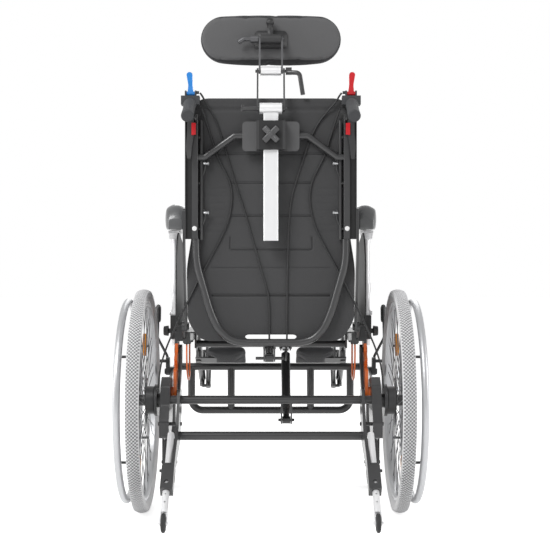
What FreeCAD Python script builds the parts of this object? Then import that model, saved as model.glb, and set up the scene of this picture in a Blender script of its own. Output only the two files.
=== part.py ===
import FreeCAD, Part

import math
import os

# A tilt-in-space wheelchair, in millimetres. The chair faces +Y, +X is its right hand seen from behind,
# and +Z is up. Pieces are laid out from a point on the floor under the rear axle, for the right-hand side,
# and mirrored to the left. At the end the whole chair is moved so that the origin lies on the floor in the
# middle of its length.

V = FreeCAD.Vector
doc = FreeCAD.newDocument("TiltWheelchair")

SIZES = [
    # Rear wheels
    ("wheel_radius", 300, "outside radius of the tyre"),
    ("tyre_width", 35, "width of the tyre"),
    ("track_half", 344, "middle plane of the chair to the middle of a rear wheel"),
    ("rim_radius", 270, "bead seat of the rim"),
    ("rim_depth", 15, "bead seat to the spoke face"),
    ("rim_width", 22, "width of the rim"),
    ("seat_gap", 0.05, "gap between tyre and rim"),
    ("handrim_radius", 266, "centreline radius of the handrim"),
    ("handrim_tube", 9.5, "radius of the handrim tube"),
    ("handrim_offset", 41, "wheel plane to handrim plane"),
    ("handrim_tabs", 6, "number of handrim tabs"),
    ("tab_radius", 3.5, "radius of a handrim tab"),
    ("hub_radius", 15.5, "radius of the hub barrel"),
    ("hub_outer", 22, "wheel plane to the outer end of the hub"),
    ("hub_inner", 30, "wheel plane to the inner end of the drum"),
    ("drum_radius", 37.5, "outside radius of the brake drum"),
    ("drum_width", 22, "width of the brake drum"),
    ("flange_radius", 25, "radius of the spoke flanges"),
    ("spoke_radius", 1.1, "half the width of a spoke"),
    ("spokes_per_flange", 18, "number of spokes on one flange"),
    ("spoke_lean", 38, "angle that a spoke leans round the hub"),
    ("axle_radius", 6, "radius of the rear axle"),
    ("running_gap", 0.05, "radial gap of a pin in its bore"),
    ("side_gap", 0.3, "gap between faces that slide past each other"),
    ("brake_plate_radius", 43, "radius of the brake backing plate"),
    ("brake_plate_width", 8, "thickness of the brake backing plate"),
    # Chassis
    ("casting_inner", 270, "middle plane to the inner face of a side casting"),
    ("casting_width", 26, "thickness of a side casting"),
    ("cross_tube_radius", 11.5, "radius of the chassis cross tubes"),
    ("rear_cross_back", 30, "axle to the rear cross tube, rearwards"),
    ("rear_cross_height", 304, "height of the rear cross tube"),
    ("side_tube_radius", 13, "radius of the side tubes"),
    ("side_tube_x", 282, "middle plane to a side tube"),
    ("side_tube_rear_height", 316, "height of a side tube at the casting"),
    ("front_cross_y", 380, "axle to the front cross tube"),
    ("front_cross_height", 362, "height of the front cross tube"),
    ("hoop_tube_radius", 11, "radius of the front hoop tube"),
    ("hoop_half_width", 240, "middle plane to an upright of the front hoop"),
    ("hoop_height", 230, "height of the bottom run of the front hoop"),
    ("hoop_corner", 34, "bend radius of the front hoop"),
    ("hoop_post_x", 120, "middle plane to a short post of the front hoop"),
    ("bottom_cross_back", 80, "axle to the bottom cross tube, rearwards"),
    ("bottom_cross_height", 214, "height of the bottom cross tube"),
    # Casters
    ("caster_x", 306, "middle plane to a caster stem"),
    ("caster_y", 400, "axle to a caster stem"),
    ("caster_radius", 75, "radius of a caster wheel"),
    ("caster_width", 28, "width of a caster wheel"),
    ("caster_trail", 32, "caster stem to caster axle"),
    ("head_radius", 17, "radius of the caster head tube"),
    ("head_bottom", 192, "height of the lower end of the head tube"),
    ("head_top", 268, "height of the upper end of the head tube"),
    ("stem_radius", 8, "radius of a caster stem"),
    ("fork_plate", 5, "thickness of a fork blade"),
    ("caster_axle_radius", 5, "radius of a caster axle"),
    # Tilt mechanism
    ("chassis_pivot_y", 20, "axle to the chassis pivot of the tilt links"),
    ("chassis_pivot_z", 318, "height of the chassis pivot of the tilt links"),
    ("gear_module", 3.2, "module of the toothed sectors"),
    ("chassis_teeth", 40, "teeth that a whole chassis sector would have"),
    ("seat_teeth", 40, "teeth that a whole seat sector would have"),
    ("link_angle", 62, "angle of the tilt links above the floor at rest"),
    ("tooth_backlash", 0.5, "play between meshing teeth along the pitch circle"),
    ("sector_x", 256, "middle plane to the inner face of the toothed sectors"),
    ("sector_plate", 8, "thickness of the toothed sectors"),
    ("sector_hub_radius", 17, "radius of the hub of a toothed sector"),
    ("link_pin_radius", 8, "radius of the pins of a tilt link"),
    ("link_plate", 7.7, "thickness of a tilt link"),
    ("link_half_width", 15, "half the width of a tilt link at its pins"),
    ("scale_radius", 84, "outside radius of the curved guide strip"),
    ("scale_width", 8, "width of the curved guide strip"),
    # Seat
    ("rail_x", 218, "middle plane to the inner face of a seat rail"),
    ("rail_width", 20, "width of a seat rail"),
    ("rail_bottom", 455, "height of the underside of a seat rail"),
    ("rail_height", 30, "height of a seat rail"),
    ("rail_back", 8, "axle to the rear end of a seat rail, rearwards"),
    ("rail_front", 425, "axle to the front end of a seat rail"),
    ("pan_thickness", 4, "thickness of the seat pan"),
    ("seat_tube_radius", 10, "radius of the cross tubes under the seat"),
    ("spring_cross_y", 207, "axle to the cross tube that carries the springs"),
    ("spring_cross_z", 441, "height of the cross tube that carries the springs"),
    ("cushion_half_width", 211, "half the width of the seat cushion"),
    ("cushion_front", 424, "axle to the front edge of the seat cushion"),
    ("cushion_back", 14, "axle to the rear edge of the seat cushion"),
    ("cushion_height", 66, "thickness of the seat cushion at its edge"),
    ("cushion_crown", 12, "rise of the seat cushion in its middle"),
    ("soft_gap", 0.3, "gap round a soft piece"),
    ("guard_x", 254.5, "middle plane to the inner face of a side guard"),
    ("guard_thickness", 3.5, "thickness of a side guard"),
    ("guard_top", 762, "height of the highest edge of a side guard"),
    ("guard_length", 292, "length of a side guard"),
    # Armrests
    ("arm_post_x", 272, "middle plane to an armrest post"),
    ("arm_post_y", 150, "axle to an armrest post"),
    ("arm_post_radius", 8.5, "radius of an armrest post"),
    ("arm_post_bottom", 440, "height of the lower end of an armrest post"),
    ("arm_post_top", 752, "height of the upper end of an armrest post"),
    ("arm_pad_bottom", 762, "height of the underside of an armrest pad"),
    ("arm_pad_height", 54, "thickness of an armrest pad at its edge"),
    ("arm_pad_crown", 12, "rise of an armrest pad in its middle"),
    ("arm_pad_width", 57, "width of an armrest pad"),
    ("arm_pad_x", 259.5, "middle plane to the middle of an armrest pad"),
    ("arm_pad_back", 12, "axle to the rear end of an armrest pad"),
    ("arm_pad_length", 320, "length of an armrest pad"),
    ("socket_top", 525, "height of the upper end of an armrest socket"),
    # Backrest
    ("hinge_back", 35, "axle to the recline hinge, rearwards"),
    ("hinge_height", 500, "height of the recline hinge"),
    ("hinge_pin_radius", 6, "radius of the recline hinge pin"),
    ("arm_plate_x", 224, "middle plane to the inner face of a recline arm"),
    ("arm_plate", 6, "thickness of a recline arm"),
    ("ear_gap", 0.4, "gap between a recline arm and its ear"),
    ("post_inner", 190, "middle plane to the inner face of a back post"),
    ("post_rear", 125, "axle to the rear face of a back post, rearwards"),
    ("post_depth", 30, "depth of a back post"),
    ("post_bottom", 733, "height of the lower end of a back post"),
    ("post_top", 1058, "height of the upper end of a back post"),
    ("post_groove", 16, "width of the groove in a back post"),
    ("post_groove_depth", 9, "depth of the groove in a back post"),
    ("accessory_bore", 5.5, "radius of the accessory bore in a back post"),
    ("accessory_inset", 9, "inner face of a back post to its accessory bore"),
    ("accessory_height", 760, "height of the accessory bores"),
    ("accessory_depth", 10, "depth of an accessory bore"),
    ("back_tube_radius", 10, "radius of the lower back tube"),
    ("back_tube_height", 462, "height of the bottom run of the lower back tube"),
    ("shell_half_width", 213, "half the width of the back shell"),
    ("shell_rear", 94, "axle to the rear face of the back shell, rearwards"),
    ("shell_thickness", 12, "thickness of the back shell"),
    ("shell_bottom", 465, "height of the lower edge of the back shell"),
    ("shell_top", 1104, "height of the upper edge of the back shell"),
    ("shell_corner", 46, "radius of the corners of the back shell"),
    ("slot_half_length", 74, "half the length of the slot in the back shell"),
    ("back_cushion_bottom", 490, "height of the lower edge of the back cushion"),
    ("back_cushion_top", 1096, "height of the upper edge of the back cushion"),
    ("back_cushion_half_width", 208, "half the width of the back cushion"),
    ("back_cushion_depth", 58, "thickness of the back cushion at its edge"),
    ("back_cushion_crown", 12, "rise of the back cushion between its channels"),
    # Push handles and levers
    ("handle_x", 210, "middle plane to a push handle"),
    ("handle_bar_radius", 10, "radius of a push handle bar"),
    ("handle_front_y", -105, "front end of a push handle bar"),
    ("handle_front_z", 1098, "height of the front end of a push handle bar"),
    ("handle_rear_y", -235, "rear end of a push handle"),
    ("handle_rear_z", 1038, "height of the rear end of a push handle"),
    ("grip_radius", 16.5, "radius of a grip"),
    ("grip_length", 108, "length of a grip"),
    ("block_bottom", 1083, "height of the underside of a handle block"),
    ("block_top", 1106, "height of the top of a handle block"),
    ("lever_pivot_y", -107, "pivot of a hand lever"),
    ("lever_pivot_z", 1114, "height of the pivot of a hand lever"),
    ("lever_pin_radius", 2.5, "radius of the pin of a hand lever"),
    ("lever_barrel_radius", 6, "radius of the barrel of a hand lever"),
    ("lever_top", 1170, "height of the top of a hand lever"),
    ("brake_pivot_y", -140, "pivot of a drum brake lever"),
    ("brake_pivot_z", 1048, "height of the pivot of a drum brake lever"),
    ("brake_lever_bottom", 938, "height of the lower end of a drum brake lever"),
    # Headrest
    ("stem_half_width", 19.5, "half the width of the headrest stem"),
    ("stem_depth", 20, "depth of the headrest stem"),
    ("stem_front", 127, "axle to the front face of the headrest stem, rearwards"),
    ("stem_bottom", 728, "height of the lower end of the headrest stem"),
    ("stem_top", 1052, "height of the upper end of the headrest stem"),
    ("clamp_bottom", 963, "height of the underside of the stem clamp"),
    ("clamp_top", 1038, "height of the top of the stem clamp"),
    ("clamp_half_width", 37.5, "half the width of the stem clamp"),
    ("clamp_plate_half_width", 74.5, "half the width of the clamp plate"),
    ("crossbar_radius", 9, "radius of the headrest crossbar"),
    ("crossbar_y", -110, "axle to the headrest crossbar"),
    ("crossbar_height", 1003, "height of the headrest crossbar"),
    ("lower_hinge_y", -137, "lower headrest hinge"),
    ("lower_hinge_z", 1071, "height of the lower headrest hinge"),
    ("lower_hinge_radius", 14.5, "radius of the lower headrest hinge"),
    ("upper_hinge_y", -95, "upper headrest hinge"),
    ("upper_hinge_z", 1175, "height of the upper headrest hinge"),
    ("upper_hinge_radius", 12, "radius of the upper headrest hinge"),
    ("swivel_y", -60, "headrest swivel"),
    ("swivel_z", 1266, "height of the headrest swivel"),
    ("headrest_pin_radius", 4, "radius of the headrest hinge pins"),
    ("headrest_link", 4.5, "thickness of a headrest link plate"),
    ("headrest_half_width", 190, "half the width of the headrest pad"),
    ("headrest_half_height", 67, "half the height of the headrest pad"),
    ("headrest_depth", 62, "thickness of the headrest pad in its middle"),
    ("knob_radius", 27, "reach of an arm of the star knob"),
    # Legrests
    ("knee_y", 440, "axle to the legrest hinge"),
    ("knee_z", 470, "height of the legrest hinge"),
    ("knee_pin_radius", 5, "radius of the legrest hinge pin"),
    ("leg_angle", 30, "angle of the legrests below level at rest"),
    ("leg_length", 350, "legrest hinge to footplate hinge"),
    ("leg_tube_radius", 11, "radius of the legrest tube"),
    ("calf_pad_x", 140, "middle plane to the middle of a calf pad"),
    ("calf_pad_width", 124, "width of a calf pad"),
    ("calf_pad_length", 128, "length of a calf pad"),
    ("calf_pad_depth", 30, "thickness of a calf pad"),
    ("calf_pad_along", 132, "legrest hinge to the middle of a calf pad"),
    ("calf_pad_offset", 58, "legrest tube to the middle of a calf pad"),
    ("footplate_length", 142, "length of a footplate across the chair"),
    ("footplate_width", 118, "width of a footplate"),
    ("footplate_thickness", 6, "thickness of a footplate"),
    # Anti-tippers
    ("anti_tip_x", 258, "middle plane to an anti-tipper tube"),
    ("anti_tip_tube_radius", 8.7, "radius of an anti-tipper tube"),
    ("anti_tip_top_y", -150, "upper end of an anti-tipper tube"),
    ("anti_tip_top_z", 228, "height of the upper end of an anti-tipper tube"),
    ("anti_tip_axle_y", -372, "axle of an anti-tipper wheel"),
    ("anti_tip_axle_z", 44, "height of the axle of an anti-tipper wheel"),
    ("anti_tip_wheel_radius", 23.5, "radius of an anti-tipper wheel"),
    ("anti_tip_wheel_width", 11.5, "width of an anti-tipper wheel"),
    ("leg_plate", 8, "thickness of an anti-tipper leg"),
    # Gas springs
    ("tilt_spring_x", 42, "middle plane to the tilt spring"),
    ("tilt_spring_low_y", 10, "lower pin of the tilt spring"),
    ("tilt_spring_low_z", 245, "height of the lower pin of the tilt spring"),
    ("tilt_spring_high_y", 177, "upper pin of the tilt spring"),
    ("tilt_spring_high_z", 432, "height of the upper pin of the tilt spring"),
    ("tilt_cylinder_radius", 12.5, "radius of the tilt spring cylinder"),
    ("recline_spring_x", -4, "middle plane to the recline spring"),
    ("recline_spring_front_y", 187, "front pin of the recline spring"),
    ("recline_spring_front_z", 430, "height of the front pin of the recline spring"),
    ("recline_spring_rear_y", -95, "rear pin of the recline spring"),
    ("recline_spring_rear_z", 420, "height of the rear pin of the recline spring"),
    ("recline_cylinder_radius", 12, "radius of the recline spring cylinder"),
    ("spring_pin_radius", 4, "radius of the spring pins"),
    ("spring_rod_radius", 4, "radius of a spring rod"),
    ("open_eye_gap", 2.2, "gap round the pin in the open eye of a spring rod"),
    ("spring_ear", 4, "thickness of a spring ear"),
    # Wheel locks
    ("lock_pivot_y", 318, "pivot of a wheel lock lever"),
    ("lock_pivot_z", 352, "height of the pivot of a wheel lock lever"),
    ("lock_rod_radius", 4, "radius of the rod of a wheel lock lever"),
    ("lock_shoe_radius", 5, "radius of the shoe of a wheel lock"),
    # Cables
    ("cable_radius", 2.5, "half the width of a cable"),
]


def fill_sheet():
    """The sheet of driving dimensions, one row each."""
    sheet = doc.addObject("Spreadsheet::Sheet", "Sizes")
    for row, (alias, value, note) in enumerate(SIZES, start=1):
        sheet.set(f"A{row}", alias)
        sheet.set(f"B{row}", str(value))
        sheet.set(f"C{row}", note)
        sheet.setAlias(f"B{row}", alias)
    doc.recompute()
    return sheet


class Reader:
    """Reads a driving dimension from the sheet by its alias."""

    def __init__(self, sheet):
        self.sheet = sheet

    def __getattr__(self, alias):
        return float(self.sheet.get(alias))


D = Reader(fill_sheet())
nodes = []


def bind(feature, **bindings):
    """Ties properties of a feature to cells of the sheet."""
    for name, text in bindings.items():
        words = text.split(" ")
        feature.setExpression(name, " ".join("Sizes." + w if w[0].isalpha() else w for w in words))


def node(feature, label):
    """Names a finished sub-part and lists it for export."""
    feature.Label = label
    nodes.append(feature)
    return feature


def frame_on(direction, at=V(0, 0, 0)):
    """The placement whose own Z axis points along a direction."""
    return FreeCAD.Placement(at, FreeCAD.Rotation(V(0, 0, 1), direction))


def bar(start, end, radius):
    """A round bar between two points, its radius tied to the sheet."""
    rod = doc.addObject("Part::Cylinder", "Bar")
    bind(rod, Radius=radius)
    rod.Height = start.distanceToPoint(end)
    rod.Placement = frame_on(end - start, start)
    return rod


def cross_bar(x0, x1, y, z, radius):
    """A round bar along X."""
    return bar(V(x0, y, z), V(x1, y, z), radius)


def block(low, high):
    """A box between its lowest and highest corners."""
    box = doc.addObject("Part::Box", "Block")
    box.Length = high[0] - low[0]
    box.Width = high[1] - low[1]
    box.Height = high[2] - low[2]
    box.Placement.Base = V(*low)
    return box


def fuse(*shapes):
    """One solid, or several where they lie apart, out of features that overlap."""
    joined = doc.addObject("Part::MultiFuse", "Joined")
    joined.Shapes = list(shapes)
    joined.Refine = True
    return joined


def cut(base, *tools):
    """A feature with others taken away."""
    result = doc.addObject("Part::Cut", "Cut")
    result.Base = base
    result.Tool = tools[0] if len(tools) == 1 else fuse(*tools)
    return result


def group(*shapes):
    """Separate solids kept together as one sub-part."""
    together = doc.addObject("Part::Compound", "Group")
    together.Links = list(shapes)
    return together


def crossed(a, b):
    """What two features share, such as a side outline and a rear outline of one piece."""
    common = doc.addObject("Part::MultiCommon", "Crossed")
    common.Shapes = [a, b]
    return common


def mirrored(source):
    """The left-hand twin of a right-hand feature."""
    twin = doc.addObject("Part::Mirroring", "Twin")
    twin.Source = source
    twin.Base = V(0, 0, 0)
    twin.Normal = V(1, 0, 0)
    return twin


def pair(source, label):
    """Right and left sub-parts of their own."""
    node(mirrored(source), label + "_left")
    return node(source, label + "_right")


def both(source, label):
    """Right and left solids in one sub-part."""
    return node(group(source, mirrored(source)), label)


def feature(shape, name):
    """A feature whose shape is set directly."""
    made = doc.addObject("Part::Feature", name)
    made.Shape = shape
    return made


def outline(points):
    """Edges of a closed outline; a point is (u, v) for a sharp corner or (u, v, radius) for a round one."""
    corners = []
    for i, point in enumerate(points):
        here = V(point[0], point[1], 0)
        before = V(points[i - 1][0], points[i - 1][1], 0) - here
        after = V(points[(i + 1) % len(points)][0], points[(i + 1) % len(points)][1], 0) - here
        if len(point) < 3:
            corners.append((here, here, here))
            continue
        turn = math.pi - before.getAngle(after)
        back = point[2] * math.tan(turn / 2)
        start = here + before.normalize() * back
        end = here + after.normalize() * back
        middle = (before + after).normalize()
        bulge = here + middle * (point[2] / math.cos(turn / 2) - point[2])
        corners.append((start, bulge, end))
    edges = []
    for i, (start, bulge, end) in enumerate(corners):
        if start != end:
            edges.append(Part.Arc(start, bulge, end))
        following = corners[(i + 1) % len(corners)][0]
        if end.distanceToPoint(following) > 1e-6:
            edges.append(Part.LineSegment(end, following))
    return edges


def sketched_body(plane, edges):
    """A body with one sketch on one of its own planes."""
    body = doc.addObject("PartDesign::Body", "Body")
    sketch = body.newObject("Sketcher::SketchObject", "Sketch")
    support = [f for f in body.Origin.OriginFeatures if f.Role == plane][0]
    sketch.AttachmentSupport = (support, [""])
    sketch.MapMode = "FlatFace"
    sketch.addGeometry(edges)
    return body, sketch


def plate(plane, edges, thickness, at=V(0, 0, 0)):
    """A flat piece: an outline padded by a thickness of the sheet, on a plane through a point."""
    body, sketch = sketched_body(plane, edges)
    pad = body.newObject("PartDesign::Pad", "Pad")
    pad.Profile = sketch
    bind(pad, Length=thickness)
    pad.Reversed = plane == "XZ_Plane"
    body.Placement.Base = at
    return body


def turned(edges, at=V(0, 0, 0), direction=V(1, 0, 0)):
    """A turned piece: an outline of (along, out) spun about a line through a point."""
    body, sketch = sketched_body("XY_Plane", edges)
    spin = body.newObject("PartDesign::Revolution", "Revolution")
    spin.Profile = sketch
    spin.ReferenceAxis = (sketch, ["H_Axis"])
    spin.Angle = 360
    body.Placement = FreeCAD.Placement(at, FreeCAD.Rotation(V(1, 0, 0), direction))
    return body


def stadium(start, end, radius):
    """The outline of a link: two round ends joined by straight flanks."""
    a = V(start[0], start[1], 0)
    b = V(end[0], end[1], 0)
    along = (b - a).normalize() * radius
    side = V(-along.y, along.x, 0)
    return [
        Part.LineSegment(a - side, b - side),
        Part.Arc(b - side, b + along, b + side),
        Part.LineSegment(b + side, a + side),
        Part.Arc(a + side, a - along, a - side),
    ]


def circle(u, v, radius):
    """A round hole or disc in a sketch."""
    return Part.Circle(V(u, v, 0), V(0, 0, 1), radius)


def route(points, bend=None):
    """A path of straight runs joined by tangent arcs.

    bend is the radius at every corner; without it each corner takes the largest radius that its two runs
    allow. Returns the wire and the radii.
    """
    points = [V(*p) for p in points]
    edges = []
    radii = []
    at = points[0]
    for before, here, after in zip(points, points[1:], points[2:]):
        back = before - here
        on = after - here
        turn = math.pi - back.getAngle(on)
        radius = bend or 0.45 * min(back.Length, on.Length) / math.tan(turn / 2)
        reach = radius * math.tan(turn / 2)
        start = here + back.normalize() * reach
        end = here + on.normalize() * reach
        middle = (back + on).normalize()
        bulge = here + middle * (radius / math.cos(turn / 2) - radius)
        edges += [Part.LineSegment(at, start), Part.Arc(start, bulge, end)]
        radii.append(radius)
        at = end
    edges.append(Part.LineSegment(at, points[-1]))
    return Part.Wire([e.toShape() for e in edges]), radii


def bent_tube(points, bend, radius):
    """A bent tube: a circle of the sheet's radius swept along a path with one bend radius."""
    wire, _ = route(points, bend)
    spine = feature(wire, "Spine")
    ring = doc.addObject("Part::Circle", "Ring")
    bind(ring, Radius=radius)
    ring.Placement = frame_on(V(*points[1]) - V(*points[0]), V(*points[0]))
    sweep = doc.addObject("Part::Sweep", "BentTube")
    sweep.Sections = [ring]
    sweep.Spine = (spine, [])
    sweep.Solid = True
    return sweep


def cable(points, name):
    """A cable of six flat sides along a route of runs and arcs; prints its radii and its length."""
    wire, radii = route(points)
    start = V(*points[0])
    to_start = frame_on(V(*points[1]) - start, start)
    corners = []
    for i in range(7):
        angle = math.radians(60 * i)
        corners.append(V(math.cos(angle), math.sin(angle), 0) * D.cable_radius)
    section = Part.Face(Part.makePolygon(corners))
    section.Placement = to_start
    solid = wire.makePipe(section)
    expected = section.Area * wire.Length
    print(name, "length", round(wire.Length), "least radius", round(min(radii), 1),
          "radii", [round(r) for r in radii], "volume ratio", round(solid.Volume / expected, 4))
    return feature(solid, name)


def loft(sections, name):
    """A closed soft form through sections, each a closed wire."""
    wires = []
    for wire in sections:
        wires.append(feature(wire, name + "Section"))
    form = doc.addObject("Part::Loft", name)
    form.Sections = wires
    form.Solid = True
    form.Ruled = False
    return form


def pillow_section(half_width, low, high, bulge, crown, place):
    """A section of a cushion: flat underside, sides that bulge, and a crowned top."""
    waist = (low + high) / 2
    left_low = place(-half_width, low)
    right_low = place(half_width, low)
    left_high = place(-half_width, high)
    right_high = place(half_width, high)
    edges = [
        Part.LineSegment(left_low, right_low),
        Part.Arc(right_low, place(half_width + bulge, waist), right_high),
        Part.Arc(right_high, place(0, high + crown), left_high),
        Part.Arc(left_high, place(-half_width - bulge, waist), left_low),
    ]
    return Part.Wire([e.toShape() for e in edges])


def rear_wheel():
    """Tyre, rim, hub with spokes and handrim of a rear wheel."""
    centre = V(D.track_half, 0, D.wheel_radius)
    half = D.tyre_width / 2
    middle = D.wheel_radius - half
    bead = D.rim_radius + D.seat_gap
    chord = math.sqrt(half**2 - (middle - bead) ** 2)
    tyre = turned(
        [
            Part.LineSegment(V(-chord, bead, 0), V(chord, bead, 0)),
            Part.Arc(V(chord, bead, 0), V(0, D.wheel_radius, 0), V(-chord, bead, 0)),
        ],
        centre,
    )
    pair(tyre, "tyre")

    side = D.rim_width / 2
    seat = D.rim_radius
    face = D.rim_radius - D.rim_depth
    rim = turned(
        outline([(-side, seat), (side, seat), (side, seat - 9), (side - 4, face), (4 - side, face), (-side, seat - 9)]),
        centre,
    )
    pair(rim, "rim")

    bore = D.axle_radius + D.running_gap
    drum_end = D.drum_width - D.hub_inner
    flange_x = D.hub_outer - 6
    profile = [
        (-D.hub_inner, bore),
        (-D.hub_inner, D.drum_radius - 2),
        (2 - D.hub_inner, D.drum_radius),
        (drum_end, D.drum_radius),
        (drum_end, D.flange_radius + 3),
        (drum_end + 3, D.flange_radius + 3),
        (drum_end + 3, D.hub_radius),
        (flange_x - 3, D.hub_radius),
        (flange_x - 3, D.flange_radius),
        (flange_x, D.flange_radius),
        (flange_x, D.hub_radius),
        (D.hub_outer, D.hub_radius),
        (D.hub_outer, bore),
    ]
    hub = turned(outline(profile), centre)
    spokes = []
    count = int(D.spokes_per_flange)
    for k in range(count):
        for x, root, lean, shift in (
            (flange_x - 1.5, D.flange_radius - 4, D.spoke_lean, 0),
            (drum_end + 1.5, D.flange_radius - 1, -D.spoke_lean, 0.5),
        ):
            angle = 2 * math.pi * (k + shift) / count
            at_hub = centre + V(x, math.cos(angle) * root, math.sin(angle) * root)
            out = angle + math.radians(lean)
            reach = face - 0.5
            at_rim = centre + V(0, math.cos(out) * reach, math.sin(out) * reach)
            spoke = doc.addObject("Part::Prism", "Spoke")
            spoke.Polygon = 6
            bind(spoke, Circumradius="spoke_radius")
            spoke.Height = at_hub.distanceToPoint(at_rim)
            spoke.Placement = frame_on(at_rim - at_hub, at_hub)
            spokes.append(spoke)
    pair(fuse(hub, *spokes), "hub")

    ring = doc.addObject("Part::Torus", "Handrim")
    bind(ring, Radius1="handrim_radius", Radius2="handrim_tube")
    plane = D.track_half + D.handrim_offset
    ring.Placement = frame_on(V(1, 0, 0), V(plane, 0, D.wheel_radius))
    tabs = []
    for k in range(int(D.handrim_tabs)):
        angle = 2 * math.pi * (k + 0.5) / D.handrim_tabs
        y = math.cos(angle) * D.handrim_radius
        z = D.wheel_radius + math.sin(angle) * D.handrim_radius
        tabs.append(cross_bar(D.track_half + side, plane, y, z, "tab_radius"))
    pair(fuse(ring, *tabs), "handrim")


def axles():
    """Rear axles, each with the backing plate of its drum brake."""
    z = D.wheel_radius
    plane = D.track_half
    casting = D.casting_inner + D.casting_width
    inner = plane - D.hub_inner - D.side_gap
    profile = [
        (casting, 0),
        (casting, 20),
        (inner - D.brake_plate_width, 20),
        (inner - D.brake_plate_width, D.brake_plate_radius),
        (inner, D.brake_plate_radius),
        (inner, D.axle_radius),
        (plane + D.hub_outer + D.side_gap, D.axle_radius),
        (plane + D.hub_outer + D.side_gap, 10),
        (plane + D.hub_outer + 6, 8),
        (plane + D.hub_outer + 6, 0),
    ]
    cable_stop = block((inner - D.brake_plate_width - 6, -30, 322), (inner - D.brake_plate_width + 2, -18, 334))
    both(fuse(turned(outline(profile), V(0, 0, z)), cable_stop), "axles")


def chassis():
    """The welded chassis: castings, tubes, hoop, caster heads and the ears of the tilt spring."""
    face = D.casting_inner
    casting = plate(
        "YZ_Plane",
        outline(
            [
                (-74, 206, 12),
                (-14, 198, 16),
                (36, 236, 18),
                (66, 300, 14),
                (52, 352, 14),
                (4, 364, 16),
                (-34, 342, 16),
                (-50, 292, 18),
                (-80, 250, 12),
            ]
        ),
        "casting_width",
        V(face, 0, 0),
    )
    pin = cross_bar(D.anti_tip_x - 2 * D.leg_plate - 4, face + D.casting_width + 6, -36, 240, "knee_pin_radius")
    elbow_y = D.front_cross_y - 6
    elbow = V(D.side_tube_x, elbow_y, D.front_cross_height)
    side_tube = bar(V(D.side_tube_x, 40, D.side_tube_rear_height), elbow, "side_tube_radius")
    knuckle = doc.addObject("Part::Sphere", "Elbow")
    bind(knuckle, Radius="side_tube_radius")
    knuckle.Placement.Base = elbow
    head_middle = (D.head_bottom + D.head_top) / 2 + 12
    drop = bar(elbow, V(D.caster_x, D.caster_y, head_middle), "side_tube_radius")
    head = bar(
        V(D.caster_x, D.caster_y, D.head_bottom), V(D.caster_x, D.caster_y, D.head_top), "head_radius"
    )
    side = [casting, pin, side_tube, knuckle, drop, head]
    lock = block(
        (face + 4, D.lock_pivot_y - 22, D.lock_pivot_z - 22), (face + 29, D.lock_pivot_y + 14, D.lock_pivot_z + 14)
    )
    lock_pin = cross_bar(face + 20, face + 46, D.lock_pivot_y, D.lock_pivot_z, "knee_pin_radius")
    lock_head = cross_bar(face + 42, face + 46, D.lock_pivot_y, D.lock_pivot_z, "lock_rod_radius + 5")
    side += [lock, lock_pin, lock_head]

    rear = cross_bar(-face, face, -D.rear_cross_back, D.rear_cross_height, "cross_tube_radius")
    front_end = D.side_tube_x
    front = cross_bar(-front_end, front_end, D.front_cross_y, D.front_cross_height, "hoop_tube_radius")
    hoop_x = D.hoop_half_width
    hoop = bent_tube(
        [
            (-hoop_x, D.front_cross_y, D.front_cross_height),
            (-hoop_x, D.front_cross_y, D.hoop_height),
            (hoop_x, D.front_cross_y, D.hoop_height),
            (hoop_x, D.front_cross_y, D.front_cross_height),
        ],
        D.hoop_corner,
        "hoop_tube_radius",
    )
    posts = []
    for x in (-D.hoop_post_x, D.hoop_post_x):
        low = V(x, D.front_cross_y, D.hoop_height)
        high = V(x, D.front_cross_y, D.front_cross_height)
        posts.append(bar(low, high, "hoop_tube_radius"))
    ears = []
    for x in (D.tilt_spring_x - 11.5 - D.spring_ear, D.tilt_spring_x + 11.5):
        ears.append(
            plate(
                "YZ_Plane",
                stadium(
                    (-D.rear_cross_back, D.rear_cross_height), (D.tilt_spring_low_y, D.tilt_spring_low_z), 11
                ),
                "spring_ear",
                V(x, 0, 0),
            )
        )
    spring_pin = cross_bar(
        D.tilt_spring_x - 22, D.tilt_spring_x + 22, D.tilt_spring_low_y, D.tilt_spring_low_z, "spring_pin_radius"
    )
    right_side = fuse(*side)
    welded = fuse(right_side, mirrored(right_side), rear, front, hoop, *posts, *ears, spring_pin)
    stem_hole = bar(
        V(D.caster_x, D.caster_y, D.head_bottom - 1), V(D.caster_x, D.caster_y, D.head_top - 6),
        "stem_radius + running_gap",
    )
    node(cut(welded, stem_hole, mirrored(stem_hole)), "chassis_frame")


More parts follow.
